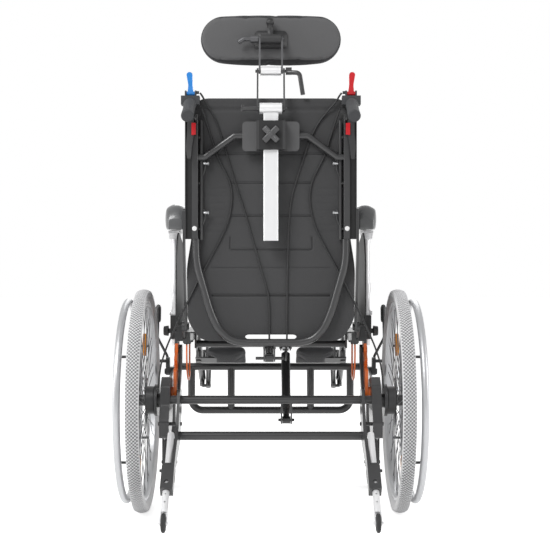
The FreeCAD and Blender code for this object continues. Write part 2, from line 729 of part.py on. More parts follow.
def casters():
    """Caster forks that swivel in the head tubes, and their wheels."""
    x = D.caster_x
    y = D.caster_y
    axle_y = y - D.caster_trail
    radius = D.caster_radius
    crown_low = 2 * radius + 8
    half = D.caster_width / 2 + 2
    outer = half + D.fork_plate
    crown = block((x - outer, axle_y - 16, crown_low), (x + outer, y + 18, D.head_bottom - D.side_gap))
    stem = bar(V(x, y, crown_low + 4), V(x, y, D.head_top - 8), "stem_radius")
    blades = []
    for start in (x - outer, x + half):
        blades.append(
            plate(
                "YZ_Plane",
                outline(
                    [
                        (axle_y - 14, radius - 14, 13),
                        (axle_y + 14, radius - 14, 13),
                        (y + 16, crown_low + 10, 8),
                        (axle_y - 16, crown_low + 10, 8),
                    ]
                ),
                "fork_plate",
                V(start, 0, 0),
            )
        )
    axle = cross_bar(x - outer - 3, x + outer + 3, axle_y, radius, "caster_axle_radius")
    pair(fuse(crown, stem, *blades, axle), "caster_fork")

    side = D.caster_width / 2
    bore = D.caster_axle_radius + D.running_gap
    profile = [
        (-side - 1.5, bore),
        (-side - 1.5, 13),
        (-side + 6, 15),
        (-side + 6, radius - 22),
        (-side, radius - 18),
        (-side, radius - 6, 5),
        (-side + 6, radius, 6),
        (side - 6, radius, 6),
        (side, radius - 6, 5),
        (side, radius - 18),
        (side - 6, radius - 22),
        (side - 6, 15),
        (side + 1.5, 13),
        (side + 1.5, bore),
    ]
    pair(turned(outline(profile), V(x, axle_y, radius)), "caster_wheel")


def gear_radius(teeth):
    """Pitch radius of a gear with a number of teeth."""
    return D.gear_module * teeth / 2


def link_direction():
    """The way from the chassis pivot to the seat pivot at rest, as (y, z)."""
    angle = math.radians(D.link_angle)
    return math.cos(angle), math.sin(angle)


def seat_pivot():
    """The seat pivot of the tilt links at rest, as (y, z)."""
    reach = gear_radius(D.chassis_teeth) + gear_radius(D.seat_teeth)
    y, z = link_direction()
    return D.chassis_pivot_y + reach * y, D.chassis_pivot_z + reach * z


def sector_edges(centre, teeth, facing, first, last, on_tooth):
    """Outline of a toothed sector.

    The teeth have involute flanks, each drawn as one arc. facing is the angle of the mesh at rest, first
    and last count the teeth to either side of it, and on_tooth tells whether a tooth or a gap faces it.
    """
    pitch_radius = gear_radius(teeth)
    base = pitch_radius * math.cos(math.radians(20))
    tip = pitch_radius + 0.9 * D.gear_module
    root = pitch_radius - 1.2 * D.gear_module
    step = 2 * math.pi / teeth
    half_pitch_tooth = step / 4 - D.tooth_backlash / 2 / pitch_radius

    def involute(radius):
        roll = math.sqrt(max((radius / base) ** 2 - 1, 0))
        return roll - math.atan(roll)

    def half_angle(radius):
        return half_pitch_tooth + involute(pitch_radius) - involute(radius)

    def point(radius, angle):
        return V(centre[0] + radius * math.cos(angle), centre[1] + radius * math.sin(angle), 0)

    edges = []
    at = None
    for k in range(first, last + 1):
        middle = math.radians(facing) + (k + (0 if on_tooth else 0.5)) * step
        mean = (root + tip) / 2
        low = point(root, middle - half_angle(max(root, base)))
        high = point(tip, middle - half_angle(tip))
        rise = Part.Arc(low, point(mean, middle - half_angle(mean)), high)
        far_high = point(tip, middle + half_angle(tip))
        far_low = point(root, middle + half_angle(max(root, base)))
        fall = Part.Arc(far_high, point(mean, middle + half_angle(mean)), far_low)
        if at is not None:
            edges.append(Part.LineSegment(at, low))
        edges += [rise, Part.LineSegment(high, far_high), fall]
        at = far_low
    return edges


def sector_plate(centre, teeth, facing, first, last, on_tooth):
    """A toothed sector: its teeth closed by two flanks that run down to a round hub."""
    edges = sector_edges(centre, teeth, facing, first, last, on_tooth)
    start = edges[0].StartPoint
    end = edges[-1].EndPoint
    hub = D.sector_hub_radius
    middle = V(centre[0], centre[1], 0)

    def tangent(point, side):
        away = point - middle
        lean = math.acos(hub / away.Length) * side
        angle = math.atan2(away.y, away.x) + lean
        return middle + V(math.cos(angle), math.sin(angle), 0) * hub

    low = tangent(start, -1)
    high = tangent(end, 1)
    back = middle - V(math.cos(math.radians(facing)), math.sin(math.radians(facing)), 0) * hub
    edges += [Part.LineSegment(end, high), Part.Arc(high, back, low), Part.LineSegment(low, start)]
    return plate("YZ_Plane", edges, "sector_plate", V(D.sector_x, 0, 0))


def tilt_mechanism():
    """Toothed sectors of chassis and seat that roll on each other, and the links that hold them in mesh."""
    low = (D.chassis_pivot_y, D.chassis_pivot_z)
    high = seat_pivot()
    near = D.sector_x
    far = D.sector_x + D.sector_plate
    hole = "link_pin_radius + running_gap"

    lower = sector_plate(low, D.chassis_teeth, D.link_angle, -3, 5, True)
    boss = cross_bar(far - 1, D.casting_inner, *low, "sector_hub_radius")
    window = plate("YZ_Plane", stadium((low[0] + 23, low[1] + 26), (low[0] + 9, low[1] + 40), 4.5),
                   "sector_plate", V(near, 0, 0))
    lower_bore = cross_bar(near - 1, D.casting_inner - 1.7, *low, hole)
    both(cut(fuse(lower, boss), lower_bore, window), "chassis_sectors")

    upper = sector_plate(high, D.seat_teeth, D.link_angle + 180, -5, 3, False)
    rail_face = D.rail_x + D.rail_width
    top = D.rail_bottom + D.rail_height - 2
    tab = block((near, high[0] - 32, high[1] - 8), (far, high[0] + 30, top))
    bridge = block((rail_face, high[0] - 32, D.rail_bottom + 2), (near + 1, high[0] + 30, top))
    strip_outer = D.scale_radius
    strip_inner = D.scale_radius - D.scale_width
    start = math.radians(150)
    end = math.radians(296)
    middle = (start + end) / 2

    def on(radius, angle):
        return V(high[0] + radius * math.cos(angle), high[1] + radius * math.sin(angle), 0)

    strip = plate(
        "YZ_Plane",
        [
            Part.Arc(on(strip_outer, start), on(strip_outer, middle), on(strip_outer, end)),
            Part.LineSegment(on(strip_outer, end), on(strip_inner, end)),
            Part.Arc(on(strip_inner, end), on(strip_inner, middle), on(strip_inner, start)),
            Part.LineSegment(on(strip_inner, start), on(strip_outer, start)),
        ],
        "spring_ear",
        V(D.rail_x + 8, 0, 0),
    )
    strip_trim = block((D.rail_x, -80, D.rail_bottom), (rail_face, high[0] + 200, high[1] + 200))
    flange = block((D.rail_x + 1, high[0] - 68, D.rail_bottom - 4), (rail_face - 1, high[0] - 34, D.rail_bottom))
    front_flange = block((D.rail_x + 1, high[0] + 24, D.rail_bottom - 4), (rail_face - 1, high[0] + 60, D.rail_bottom))
    stay = block((D.rail_x + 8, high[0] + 30, high[1] - 76), (D.rail_x + 12, high[0] + 44, D.rail_bottom))
    hung = fuse(cut(strip, strip_trim), flange, front_flange, stay)
    upper_bore = cross_bar(near - 1, far + 1, *high, hole)
    both(group(cut(fuse(upper, tab, bridge), upper_bore), hung), "seat_sectors")

    inner = near - D.side_gap * 7 - D.link_plate
    along = V(high[0] - low[0], high[1] - low[1], 0)
    out = V(along.y, -along.x, 0).normalize()
    waist_low = V(*low, 0) + along * 0.5 + out * 4
    waist_high = V(*low, 0) + along * 0.5 + out * 24
    half = D.link_half_width
    low_edge = V(*low, 0) + out * half
    high_edge = V(*high, 0) + out * half
    low_back = V(*low, 0) - out * half
    high_back = V(*high, 0) - out * half
    unit = V(along).normalize() * half
    arm = plate(
        "YZ_Plane",
        [
            Part.Arc(low_edge, waist_high, high_edge),
            Part.Arc(high_edge, V(*high, 0) + unit, high_back),
            Part.Arc(high_back, waist_low - out * 8, low_back),
            Part.Arc(low_back, V(*low, 0) - unit, low_edge),
        ],
        "link_plate",
        V(inner, 0, 0),
    )
    low_pin = cross_bar(inner + 1, D.casting_inner - 2, *low, "link_pin_radius")
    high_pin = cross_bar(inner + 1, far + 3, *high, "link_pin_radius")
    cap = cross_bar(far + D.side_gap, far + 3, *high, "link_pin_radius + 4")
    both(fuse(arm, low_pin, high_pin, cap), "tilt_links")


def seat_frame():
    """Seat rails, pan, cross tubes, the ears of the recline hinge and the lugs of the springs."""
    x = D.rail_x
    out = x + D.rail_width
    low = D.rail_bottom
    top = low + D.rail_height
    rail = block((x, -D.rail_back, low), (out, D.rail_front, top))
    hinge = (-D.hinge_back, D.hinge_height)
    ear_x = D.arm_plate_x + D.arm_plate + D.ear_gap
    ear_body, ear_sketch = sketched_body("YZ_Plane", stadium((12, low + 15), hinge, 15))
    ear_pad = ear_body.newObject("PartDesign::Pad", "Pad")
    ear_pad.Profile = ear_sketch
    ear_pad.Length = out - ear_x
    ear_body.Placement.Base = V(ear_x, 0, 0)
    pin = cross_bar(D.arm_plate_x - 4, out, *hinge, "hinge_pin_radius")
    head = cross_bar(D.arm_plate_x - 4, D.arm_plate_x - D.side_gap, *hinge, "hinge_pin_radius + 3")
    knee = (D.knee_y, D.knee_z)
    knee_ears = []
    for start in (x - 1, out - 4):
        knee_ears.append(
            plate("YZ_Plane", stadium((D.rail_front - 12, D.knee_z), knee, 14), "fork_plate", V(start, 0, 0))
        )
    knee_pin = cross_bar(x - 1, out + 1, *knee, "knee_pin_radius")
    drop = block(
        (x - 5, D.spring_cross_y - 14, D.spring_cross_z - 12), (x + 1, D.spring_cross_y + 14, low + 20)
    )
    right_side = fuse(rail, ear_body, pin, head, *knee_ears, knee_pin, drop)
    pan = block((-x - 1, D.cushion_back - 6, top - D.pan_thickness), (x + 1, D.rail_front - 4, top))
    front = cross_bar(-x - 1, x + 1, D.rail_front - 14, D.knee_z + 3, "seat_tube_radius")
    carrier = cross_bar(-x - 1, x + 1, D.spring_cross_y, D.spring_cross_z, "seat_tube_radius")
    lugs = []
    for centre, y, z in (
        (D.tilt_spring_x, D.tilt_spring_high_y, D.tilt_spring_high_z),
        (D.recline_spring_x, D.recline_spring_front_y, D.recline_spring_front_z),
    ):
        for start in (centre - 11.5 - D.spring_ear, centre + 11.5):
            lugs.append(
                plate(
                    "YZ_Plane",
                    stadium((D.spring_cross_y, D.spring_cross_z), (y, z), 9),
                    "spring_ear",
                    V(start, 0, 0),
                )
            )
        lugs.append(cross_bar(centre - 18, centre + 18, y, z, "spring_pin_radius"))
    node(fuse(right_side, mirrored(right_side), pan, front, carrier, *lugs), "seat_frame")


def seat_cushion():
    """The seat cushion: flat below, crowned above, drawn in along its sides."""
    low = D.rail_bottom + D.rail_height + D.soft_gap
    height = D.cushion_height
    length = D.cushion_front - D.cushion_back
    sections = []
    for share, width, tall, crown in (
        (0.0, 0.93, 0.62, 0.3),
        (0.06, 0.985, 0.94, 0.7),
        (0.5, 0.965, 1.0, 1.0),
        (0.94, 0.985, 0.96, 0.7),
        (1.0, 0.93, 0.66, 0.3),
    ):
        y = D.cushion_back + share * length

        def place(u, v, y=y):
            return V(u, y, v)

        half = D.cushion_half_width * width
        sections.append(
            pillow_section(half, low, low + height * tall, 3, D.cushion_crown * crown, place)
        )
    node(loft(sections, "SeatCushion"), "seat_cushion")


def side_guards():
    """Guards beside the seat, each a curved panel on two feet."""
    x = D.guard_x
    low = D.rail_bottom + D.rail_height + 2
    back = -4
    front = back + D.guard_length
    top = D.guard_top
    panel = plate(
        "YZ_Plane",
        outline(
            [
                (back, low, 10),
                (front, low, 10),
                (front, low + 120, 70),
                (front - 70, top - 30, 60),
                (back + 60, top, 60),
                (back, top - 80, 50),
            ]
        ),
        "guard_thickness",
        V(x, 0, 0),
    )
    feet = []
    for y in (-6, D.arm_post_y + 76):
        feet.append(block((D.rail_x + D.rail_width, y, low - 26), (x + 1, y + 24, low + 14)))
    both(fuse(panel, *feet), "side_guards")


def armrests():
    """Armrest sockets with their clamp knobs, height-adjustable posts, and pads."""
    x = D.arm_post_x
    y = D.arm_post_y
    low = D.rail_bottom + 3
    out = D.rail_x + D.rail_width
    body = block((x - 11, y - 13, low), (x + 12, y + 13, D.socket_top))
    arm = block((out, y - 11, low), (x - 10, y + 11, low + 24))
    knob = turned(
        outline([(0, 0), (0, 7), (5, 7), (6, 15, 1), (20, 13, 3), (20, 0)]), V(x + 12, y, D.socket_top - 44)
    )
    bore = bar(V(x, y, low - 1), V(x, y, D.socket_top + 1), "arm_post_radius + running_gap")
    both(cut(fuse(body, arm, knob), bore), "armrest_sockets")

    post = bar(V(x, y, D.arm_post_bottom), V(x, y, D.arm_post_top), "arm_post_radius")
    hollow = bar(V(x, y, D.arm_post_bottom - 1), V(x, y, D.arm_post_top - 6), "arm_post_radius - 2")
    collar = bar(V(x, y, 590), V(x, y, 616), "arm_post_radius + 3")
    stop = bar(V(x, y, 528), V(x, y, 540), "arm_post_radius + 2.5")
    button = cross_bar(x, x + 15, y, 532, "lever_barrel_radius")
    lug = bar(V(x, y, D.arm_post_top - 22), V(x, y, D.arm_post_top), "arm_post_radius + 2")
    middle = D.arm_pad_x
    saddle = plate(
        "YZ_Plane",
        outline(
            [
                (y - 70, D.arm_pad_bottom),
                (y - 64, D.arm_pad_bottom - 6, 4),
                (y - 26, D.arm_pad_bottom - 22, 8),
                (y + 26, D.arm_pad_bottom - 22, 8),
                (y + 64, D.arm_pad_bottom - 6, 4),
                (y + 70, D.arm_pad_bottom),
            ]
        ),
        "casting_width",
        V(middle - 1, 0, 0),
    )
    pair(fuse(cut(post, hollow), collar, stop, button, lug, saddle), "armrest_post")

    half = D.arm_pad_width / 2
    base = D.arm_pad_bottom + D.soft_gap
    sections = []
    for share, width, tall, crown in (
        (0.0, 0.72, 0.5, 0.3),
        (0.05, 0.94, 0.92, 0.8),
        (0.5, 0.9, 1.0, 1.0),
        (0.95, 0.94, 0.92, 0.8),
        (1.0, 0.72, 0.5, 0.3),
    ):
        along = D.arm_pad_back + share * D.arm_pad_length

        def place(u, v, along=along):
            return V(middle + u, along, v)

        sections.append(
            pillow_section(half * width, base, base + D.arm_pad_height * tall, 2, D.arm_pad_crown * crown, place)
        )
    pair(loft(sections, "ArmrestPad"), "armrest_pad")


def back_posts():
    """Grooved back posts, the recline arms that carry them, and the brackets of the brake levers."""
    inner = D.post_inner
    outer = D.arm_plate_x
    rear = -D.post_rear
    front = rear + D.post_depth
    groove = outer - 2
    body, sketch = sketched_body(
        "XY_Plane",
        outline(
            [
                (inner, rear, 2),
                (groove - D.post_groove, rear),
                (groove - D.post_groove, rear + D.post_groove_depth),
                (groove, rear + D.post_groove_depth),
                (groove, rear),
                (outer, rear),
                (outer, front),
                (inner, front, 2),
            ]
        ),
    )
    pad = body.newObject("PartDesign::Pad", "Pad")
    pad.Profile = sketch
    bind(pad, Length="post_top - post_bottom")
    body.Placement.Base = V(0, 0, D.post_bottom)
    bore_x = inner + D.accessory_inset
    bore = bar(V(bore_x, rear - 1, D.accessory_height), V(bore_x, rear + D.accessory_depth, D.accessory_height),
               "accessory_bore")
    post = cut(body, bore)

    hinge_y = -D.hinge_back
    hinge_z = D.hinge_height
    arm = plate(
        "YZ_Plane",
        outline(
            [
                (rear + 2, D.post_bottom + 80, 8),
                (front - 2, D.post_bottom + 80, 8),
                (front - 2, D.post_bottom - 20, 60),
                (hinge_y + 14, hinge_z + 10, 20),
                (hinge_y + 14, hinge_z - 14, 13.5),
                (hinge_y - 14, hinge_z - 14, 13.5),
                (rear + 2, D.post_bottom - 30, 90),
            ]
        ),
        "arm_plate",
        V(outer, 0, 0),
    )
    hole = cross_bar(outer - 1, outer + D.arm_plate + 1, hinge_y, hinge_z, "hinge_pin_radius + running_gap")

    ears = []
    for start in (D.handle_x - 17, D.handle_x + 9):
        ears.append(
            plate(
                "YZ_Plane",
                outline(
                    [
                        (rear, D.brake_pivot_z - 12),
                        (rear, D.brake_pivot_z + 9),
                        (D.brake_pivot_y - 9, D.brake_pivot_z + 9, 6),
                        (D.brake_pivot_y - 9, D.brake_pivot_z - 8, 6),
                    ]
                ),
                "spring_ear",
                V(start, 0, 0),
            )
        )
    brake_pin = cross_bar(D.handle_x - 17, D.handle_x + 13, D.brake_pivot_y, D.brake_pivot_z, "lever_pin_radius")
    right_side = group(post, cut(arm, hole), fuse(*ears, brake_pin))
    both(right_side, "back_posts")


def back_tube():
    """The lower back tube under the posts, with the ears of the recline spring."""
    y = D.crossbar_y - 1
    low = D.back_tube_height
    top = D.post_bottom
    half = [(196, top), (195, top - 62), (178, top - 122), (158, low + 80), (138, low + 36), (108, low + 8), (74, low)]
    points = [(-x, y, z) for x, z in half] + [(x, y, z) for x, z in reversed(half)]
    wire, radii = route(points)
    spine = feature(wire, "Spine")
    ring = doc.addObject("Part::Circle", "Ring")
    bind(ring, Radius="back_tube_radius")
    ring.Placement = frame_on(V(*points[1]) - V(*points[0]), V(*points[0]))
    tube = doc.addObject("Part::Sweep", "BackTube")
    tube.Sections = [ring]
    tube.Spine = (spine, [])
    tube.Solid = True
    ears = []
    centre = D.recline_spring_x
    pin = (D.recline_spring_rear_y, D.recline_spring_rear_z)
    for start in (centre - 11.5 - D.spring_ear, centre + 11.5):
        ears.append(plate("YZ_Plane", stadium((y, low), pin, 9), "spring_ear", V(start, 0, 0)))
    rod = cross_bar(centre - 36, centre + 38, *pin, "spring_pin_radius")
    trim = block((-300, y - 40, top), (300, y + 40, top + 40))
    node(cut(fuse(tube, *ears, rod), trim), "back_tube")


def back_shell():
    """The back shell, a stiff panel with rounded corners and a slot low in its middle."""
    half = D.shell_half_width
    low = D.shell_bottom
    top = D.shell_top
    r = D.shell_corner
    panel = plate(
        "XZ_Plane",
        outline([(-half + 8, low, r), (half - 8, low, r), (half, top, r), (-half, top, r)]),
        "shell_thickness",
        V(0, -D.shell_rear, 0),
    )
    slot = D.slot_half_length
    hole = plate(
        "XZ_Plane",
        outline([(-slot, low + 11), (-slot + 14, low + 5), (slot - 14, low + 5), (slot, low + 11),
                 (slot - 14, low + 17), (-slot + 14, low + 17)]),
        "shell_thickness",
        V(0, -D.shell_rear, 0),
    )
    node(cut(panel, hole), "back_shell")


def back_cushion():
    """The back cushion: flat against the shell, swelling between the channels that cross it."""
    rear = D.soft_gap + D.shell_thickness - D.shell_rear
    low = D.back_cushion_bottom
    height = D.back_cushion_top - low
    sections = []
    for share, width, depth, crown in (
        (0.0, 0.93, 0.5, 0.2),
        (0.03, 0.98, 0.86, 0.7),
        (0.17, 0.99, 1.0, 1.0),
        (0.32, 0.96, 0.86, 0.3),
        (0.47, 0.98, 1.0, 1.0),
        (0.61, 0.96, 0.86, 0.3),
        (0.78, 0.98, 0.98, 0.9),
        (0.96, 0.97, 0.8, 0.6),
        (1.0, 0.9, 0.42, 0.2),
    ):
        z = low + share * height

        def place(u, v, z=z):
            return V(u, v, z)

        sections.append(
            pillow_section(
                D.back_cushion_half_width * width,
                rear,
                rear + D.back_cushion_depth * depth,
                3,
                D.back_cushion_crown * crown,
                place,
            )
        )
    node(loft(sections, "BackCushion"), "back_cushion")


def handle_way():
    """Unit direction of a push handle, from its front end to its rear end."""
    return (V(0, D.handle_rear_y, D.handle_rear_z) - V(0, D.handle_front_y, D.handle_front_z)).normalize()


def push_handles():
    """Push handle bars on their blocks, with grips, and the ears of the hand levers."""
    x = D.handle_x
    way = handle_way()
    front = V(x, D.handle_front_y, D.handle_front_z)
    rear = V(x, D.handle_rear_y, D.handle_rear_z)
    stem = bar(V(x - 2, D.handle_front_y - 3, D.post_top), V(x - 2, D.handle_front_y - 3, D.block_bottom + 2),
               "handle_bar_radius")
    body = doc.addObject("Part::Box", "HandleBlock")
    body.Length = 48
    body.Width = 34
    bind(body, Height="block_top - block_bottom")
    body.Placement.Base = V(x - 24, D.lever_pivot_y - 23, D.block_bottom)
    bar_end = rear - way * 4
    rod = bar(front, bar_end, "handle_bar_radius")
    ears = []
    for start in (x - 15, x + 11):
        ears.append(
            plate(
                "YZ_Plane",
                outline(
                    [
                        (D.lever_pivot_y - 9, D.block_top - 1),
                        (D.lever_pivot_y + 9, D.block_top - 1),
                        (D.lever_pivot_y + 9, D.lever_pivot_z + 8, 6),
                        (D.lever_pivot_y - 9, D.lever_pivot_z + 8, 6),
                    ]
                ),
                "spring_ear",
                V(start, 0, 0),
            )
        )
    pin = cross_bar(x - 15, x + 15, D.lever_pivot_y, D.lever_pivot_z, "lever_pin_radius")
    stop = cross_bar(x - 22, x - 13, D.lever_pivot_y, D.lever_pivot_z + 3, "spring_rod_radius")
    holder = fuse(stem, body, rod, *ears, pin, stop)

    length = D.grip_length
    r = D.grip_radius
    hole = D.handle_bar_radius + D.running_gap
    deep = length - 4 + D.running_gap
    grip = turned(
        outline([(0, hole), (0, r - 1, 1), (10, r, 8), (length * 0.5, r - 1.5, 60), (length, r, 4), (length, 0),
                 (deep, 0), (deep, hole)]),
        rear - way * length,
        way,
    )
    both(group(holder, grip), "push_handles")


def hand_levers():
    """The tilt lever on the right and the recline lever on the left, alike."""
    x = D.handle_x
    y = D.lever_pivot_y
    z = D.lever_pivot_z
    top = D.lever_top + 8
    side = plate(
        "YZ_Plane",
        outline([(y - 6, z), (y + 6, z), (y + 5, z + 20, 30), (y + 6, top, 5), (y - 5, top, 5),
                 (y - 4, z + 20, 30)]),
        "casting_width",
        V(x - 10, 0, 0),
    )
    front = plate(
        "XZ_Plane",
        outline([(x - 8, z), (x + 8, z), (x + 6, z + 22, 40), (x + 12, D.lever_top, 7.4), (x - 5, D.lever_top, 7.4),
                 (x - 5, z + 22, 40)]),
        "casting_width",
        V(0, y - 13, 0),
    )
    blade = crossed(side, front)
    barrel = cross_bar(x - 10.7, x + 10.7, y, z, "lever_barrel_radius")
    hole = cross_bar(x - 12, x + 12, y, z, "lever_pin_radius + running_gap")
    lever = cut(fuse(blade, barrel), hole)
    node(lever, "tilt_lever")
    node(mirrored(lever), "recline_lever")


def brake_levers():
    """Drum brake levers under the grips, each with its parking catch."""
    x = D.handle_x
    y = D.brake_pivot_y
    z = D.brake_pivot_z
    end = D.brake_lever_bottom
    side = plate(
        "YZ_Plane",
        outline([(y - 5, z + 1), (y + 5, z + 1), (y + 4, z - 50, 60), (y - 3, end + 24, 40), (y - 8, end, 3),
                 (y - 15, end, 3), (y - 10, end + 24, 40), (y - 5, z - 40, 60)]),
        "casting_width",
        V(x - 13, 0, 0),
    )
    rear = plate(
        "XZ_Plane",
        outline([(x - 11, z + 1), (x + 7, z + 1), (x + 7, z - 40, 60), (x + 10, end + 30, 40), (x + 6, end, 4),
                 (x - 3, end, 4), (x - 6, end + 34, 40), (x - 11, z - 44, 60)]),
        "casting_width",
        V(0, y - 18, 0),
    )
    blade = crossed(side, rear)
    barrel = cross_bar(x - 12.7, x + 8.7, y, z, "lever_barrel_radius")
    catch = block((x - 16, y - 9, z - 46), (x - 5, y - 3, z - 16))
    hole = cross_bar(x - 14, x + 10, y, z, "lever_pin_radius + running_gap")
    pair(cut(fuse(blade, barrel, catch), hole), "brake_lever")


def headrest_mount():
    """The crossbar between the posts, with the plate and the clamp that hold the headrest stem."""
    y = D.crossbar_y
    top = D.crossbar_height
    ends = D.post_inner
    bow = bent_tube(
        [(-ends, y, 947), (-ends + 16, y, 947), (-96, y, top), (96, y, top), (ends - 16, y, 947), (ends, y, 947)],
        9.5,
        "crossbar_radius",
    )
    plate_y = y - D.crossbar_radius
    wide = D.clamp_plate_half_width
    low = D.clamp_bottom - 1
    high = D.clamp_top + 1
    back_plate = plate(
        "XZ_Plane",
        outline([(-wide, low, 10), (wide, low, 10), (wide, high, 10), (-wide, high, 10)]),
        "spring_ear + 1",
        V(0, plate_y - 4, 0),
    )
    half = D.clamp_half_width
    rear = -D.stem_front - D.stem_depth - 8
    body = block((-half, rear, D.clamp_bottom), (half, plate_y - 3, D.clamp_top))
    gap = D.running_gap
    channel = block(
        (-D.stem_half_width - gap, -D.stem_front - D.stem_depth - gap, low - 5),
        (D.stem_half_width + gap, -D.stem_front + gap, high + 5),
    )
    stud_hole = bar(
        V(0, rear - 1, D.crossbar_height - 2), V(0, rear + 9, D.crossbar_height - 2), "knee_pin_radius + running_gap"
    )
    node(cut(fuse(bow, back_plate, body), channel, stud_hole), "headrest_mount")

    z = D.crossbar_height - 2
    arms = []
    for k in range(4):
        angle = math.radians(45 + 90 * k)
        tip = V(math.cos(angle), 0, math.sin(angle)) * (D.knob_radius - 6)
        arms.append(bar(V(tip.x, rear - 20, z + tip.z), V(tip.x, rear - 6, z + tip.z), "knee_pin_radius + 1"))
    knob_hub = bar(V(0, rear - 20, z), V(0, rear - D.side_gap, z), "knob_radius - 8")
    stud = bar(V(0, rear - 1, z), V(0, rear + 7, z), "knee_pin_radius")
    node(fuse(knob_hub, stud, *arms), "star_knob")


def headrest():
    """The headrest stem and the two pairs of links that carry the pad."""
    half = D.stem_half_width
    back = -D.stem_front - D.stem_depth
    post = plate(
        "XY_Plane",
        outline([(-half, back, 4), (half, back, 4), (half, -D.stem_front, 4), (-half, -D.stem_front, 4)]),
        "stem_top - stem_bottom",
        V(0, 0, D.stem_bottom),
    )
    low = (D.lower_hinge_y, D.lower_hinge_z)
    high = (D.upper_hinge_y, D.upper_hinge_z)
    tip = (D.swivel_y, D.swivel_z)
    barrel_end = half + 12.5
    barrel = fuse(
        cross_bar(-barrel_end + 3, barrel_end - 3, *low, "lower_hinge_radius"),
        cross_bar(-barrel_end, barrel_end, *low, "lower_hinge_radius - 4"),
    )
    neck = block((-half, back + 2, D.stem_top - 2), (half, -D.stem_front - 2, D.lower_hinge_z))
    hole = cross_bar(-barrel_end - 1, barrel_end + 1, *low, "headrest_pin_radius + running_gap")
    node(cut(fuse(post, neck, barrel), hole), "headrest_stem")

    gap = D.side_gap
    thick = D.headrest_link
    inner_low = barrel_end + gap

    def side_plate(start, a, b, r):
        return plate("YZ_Plane", stadium(a, b, r), "headrest_link", V(start, 0, 0))

    link_plates = [side_plate(inner_low, low, high, 8), side_plate(-inner_low - thick, low, high, 8)]
    outer_low = inner_low + thick
    low_pin = cross_bar(-outer_low - 3, outer_low + 5, *low, "headrest_pin_radius")
    spindle = cross_bar(-77, -outer_low - 2, *low, "headrest_pin_radius + 1")
    spindle_end = bar(V(-74, low[0], low[1] - 7), V(-74, low[0], low[1] + 9), "headrest_pin_radius")
    start = inner_low - gap - thick - gap / 2
    drum = cross_bar(-start + gap, start - gap, *high, "upper_hinge_radius")
    high_pin = cross_bar(-outer_low - 4, outer_low + 4, *high, "headrest_pin_radius")
    lever_hub = cross_bar(outer_low + 2, outer_low + 18, *high, "upper_hinge_radius - 2")
    lever_arm = bent_tube(
        [(outer_low + 8, high[0] - 5, high[1] - 4), (75, high[0] - 12, high[1] - 6), (84, high[0] - 14, high[1] - 64)],
        12,
        "lever_barrel_radius",
    )
    node(
        fuse(*link_plates, low_pin, spindle, spindle_end, drum, high_pin, lever_hub, lever_arm),
        "headrest_lower_link",
    )

    arms = [side_plate(start, high, tip, 7), side_plate(-start - thick, high, tip, 7)]
    holes = cross_bar(-start - 2 * thick, start + 2 * thick, *high, "headrest_pin_radius + running_gap")
    swivel_pin = cross_bar(-start - thick - 3, start + thick + 3, *tip, "headrest_pin_radius")
    clamp_hub = cross_bar(-start - thick - 22, -start - thick - 2, *tip, "upper_hinge_radius - 2")
    clamp_arm = bent_tube(
        [(-start - thick - 12, *tip), (-72, tip[0] - 1, tip[1] + 1), (-86, tip[0] - 2, tip[1] - 9)],
        10,
        "lever_barrel_radius",
    )
    node(fuse(cut(fuse(*arms), holes), swivel_pin, clamp_hub, clamp_arm), "headrest_upper_link")

    inner = start - gap
    boss = cross_bar(-inner, inner, *tip, "headrest_half_height / 5")
    stand = D.swivel_y + 20
    mount = block((-inner, D.swivel_y, D.swivel_z - 9), (inner, stand, D.swivel_z + 9))
    base = plate(
        "XZ_Plane",
        outline([(-44, D.swivel_z - 22, 12), (44, D.swivel_z - 22, 12), (44, D.swivel_z + 26, 12),
                 (-44, D.swivel_z + 26, 12)]),
        "spring_ear",
        V(0, stand - 4, 0),
    )
    pin_hole = cross_bar(-inner - 1, inner + 1, *tip, "headrest_pin_radius + running_gap")
    grip = bar(V(-2, D.swivel_y, D.swivel_z + 8), V(-2, D.swivel_y, D.swivel_z + 54), "upper_hinge_radius - 4")
    grip_top = bar(V(-2, D.swivel_y, D.swivel_z + 40), V(-2, D.swivel_y, D.swivel_z + 52), "upper_hinge_radius - 2")
    bracket = cut(fuse(boss, mount, base, grip, grip_top), pin_hole)
    half_wide = D.headrest_half_width
    half_tall = D.headrest_half_height
    sections = []
    for share, size in ((0.0, 0.93), (0.12, 0.99), (0.5, 1.0), (0.85, 0.93), (1.0, 0.8)):
        y = stand + D.soft_gap + share * D.headrest_depth
        r = half_tall * size - 8
        wide = half_wide - half_tall * (1 - size)
        edges = [
            Part.Arc(
                V(-wide + r, y, D.swivel_z + 6 - r - 4),
                V(-wide, y, D.swivel_z + 6),
                V(-wide + r, y, D.swivel_z + 6 + r + 4),
            ),
            Part.Arc(
                V(-wide + r, y, D.swivel_z + 6 + r + 4),
                V(0, y, D.swivel_z + 6 + r + 8),
                V(wide - r, y, D.swivel_z + 6 + r + 4),
            ),
            Part.Arc(
                V(wide - r, y, D.swivel_z + 6 + r + 4),
                V(wide, y, D.swivel_z + 6),
                V(wide - r, y, D.swivel_z + 6 - r - 4),
            ),
            Part.Arc(
                V(wide - r, y, D.swivel_z + 6 - r - 4),
                V(0, y, D.swivel_z + 6 - r - 8),
                V(-wide + r, y, D.swivel_z + 6 - r - 4),
            ),
        ]
        sections.append(Part.Wire([e.toShape() for e in edges]))
    node(group(bracket, loft(sections, "HeadrestPad")), "headrest_pad")


def leg_point(along, out=0.0):
    """A point (y, z) of the legrest: a distance down its tube and a distance square to it, forwards."""
    angle = math.radians(D.leg_angle)
    y = D.knee_y + along * math.cos(angle) + out * math.sin(angle)
    z = D.knee_z - along * math.sin(angle) + out * math.cos(angle)
    return y, z


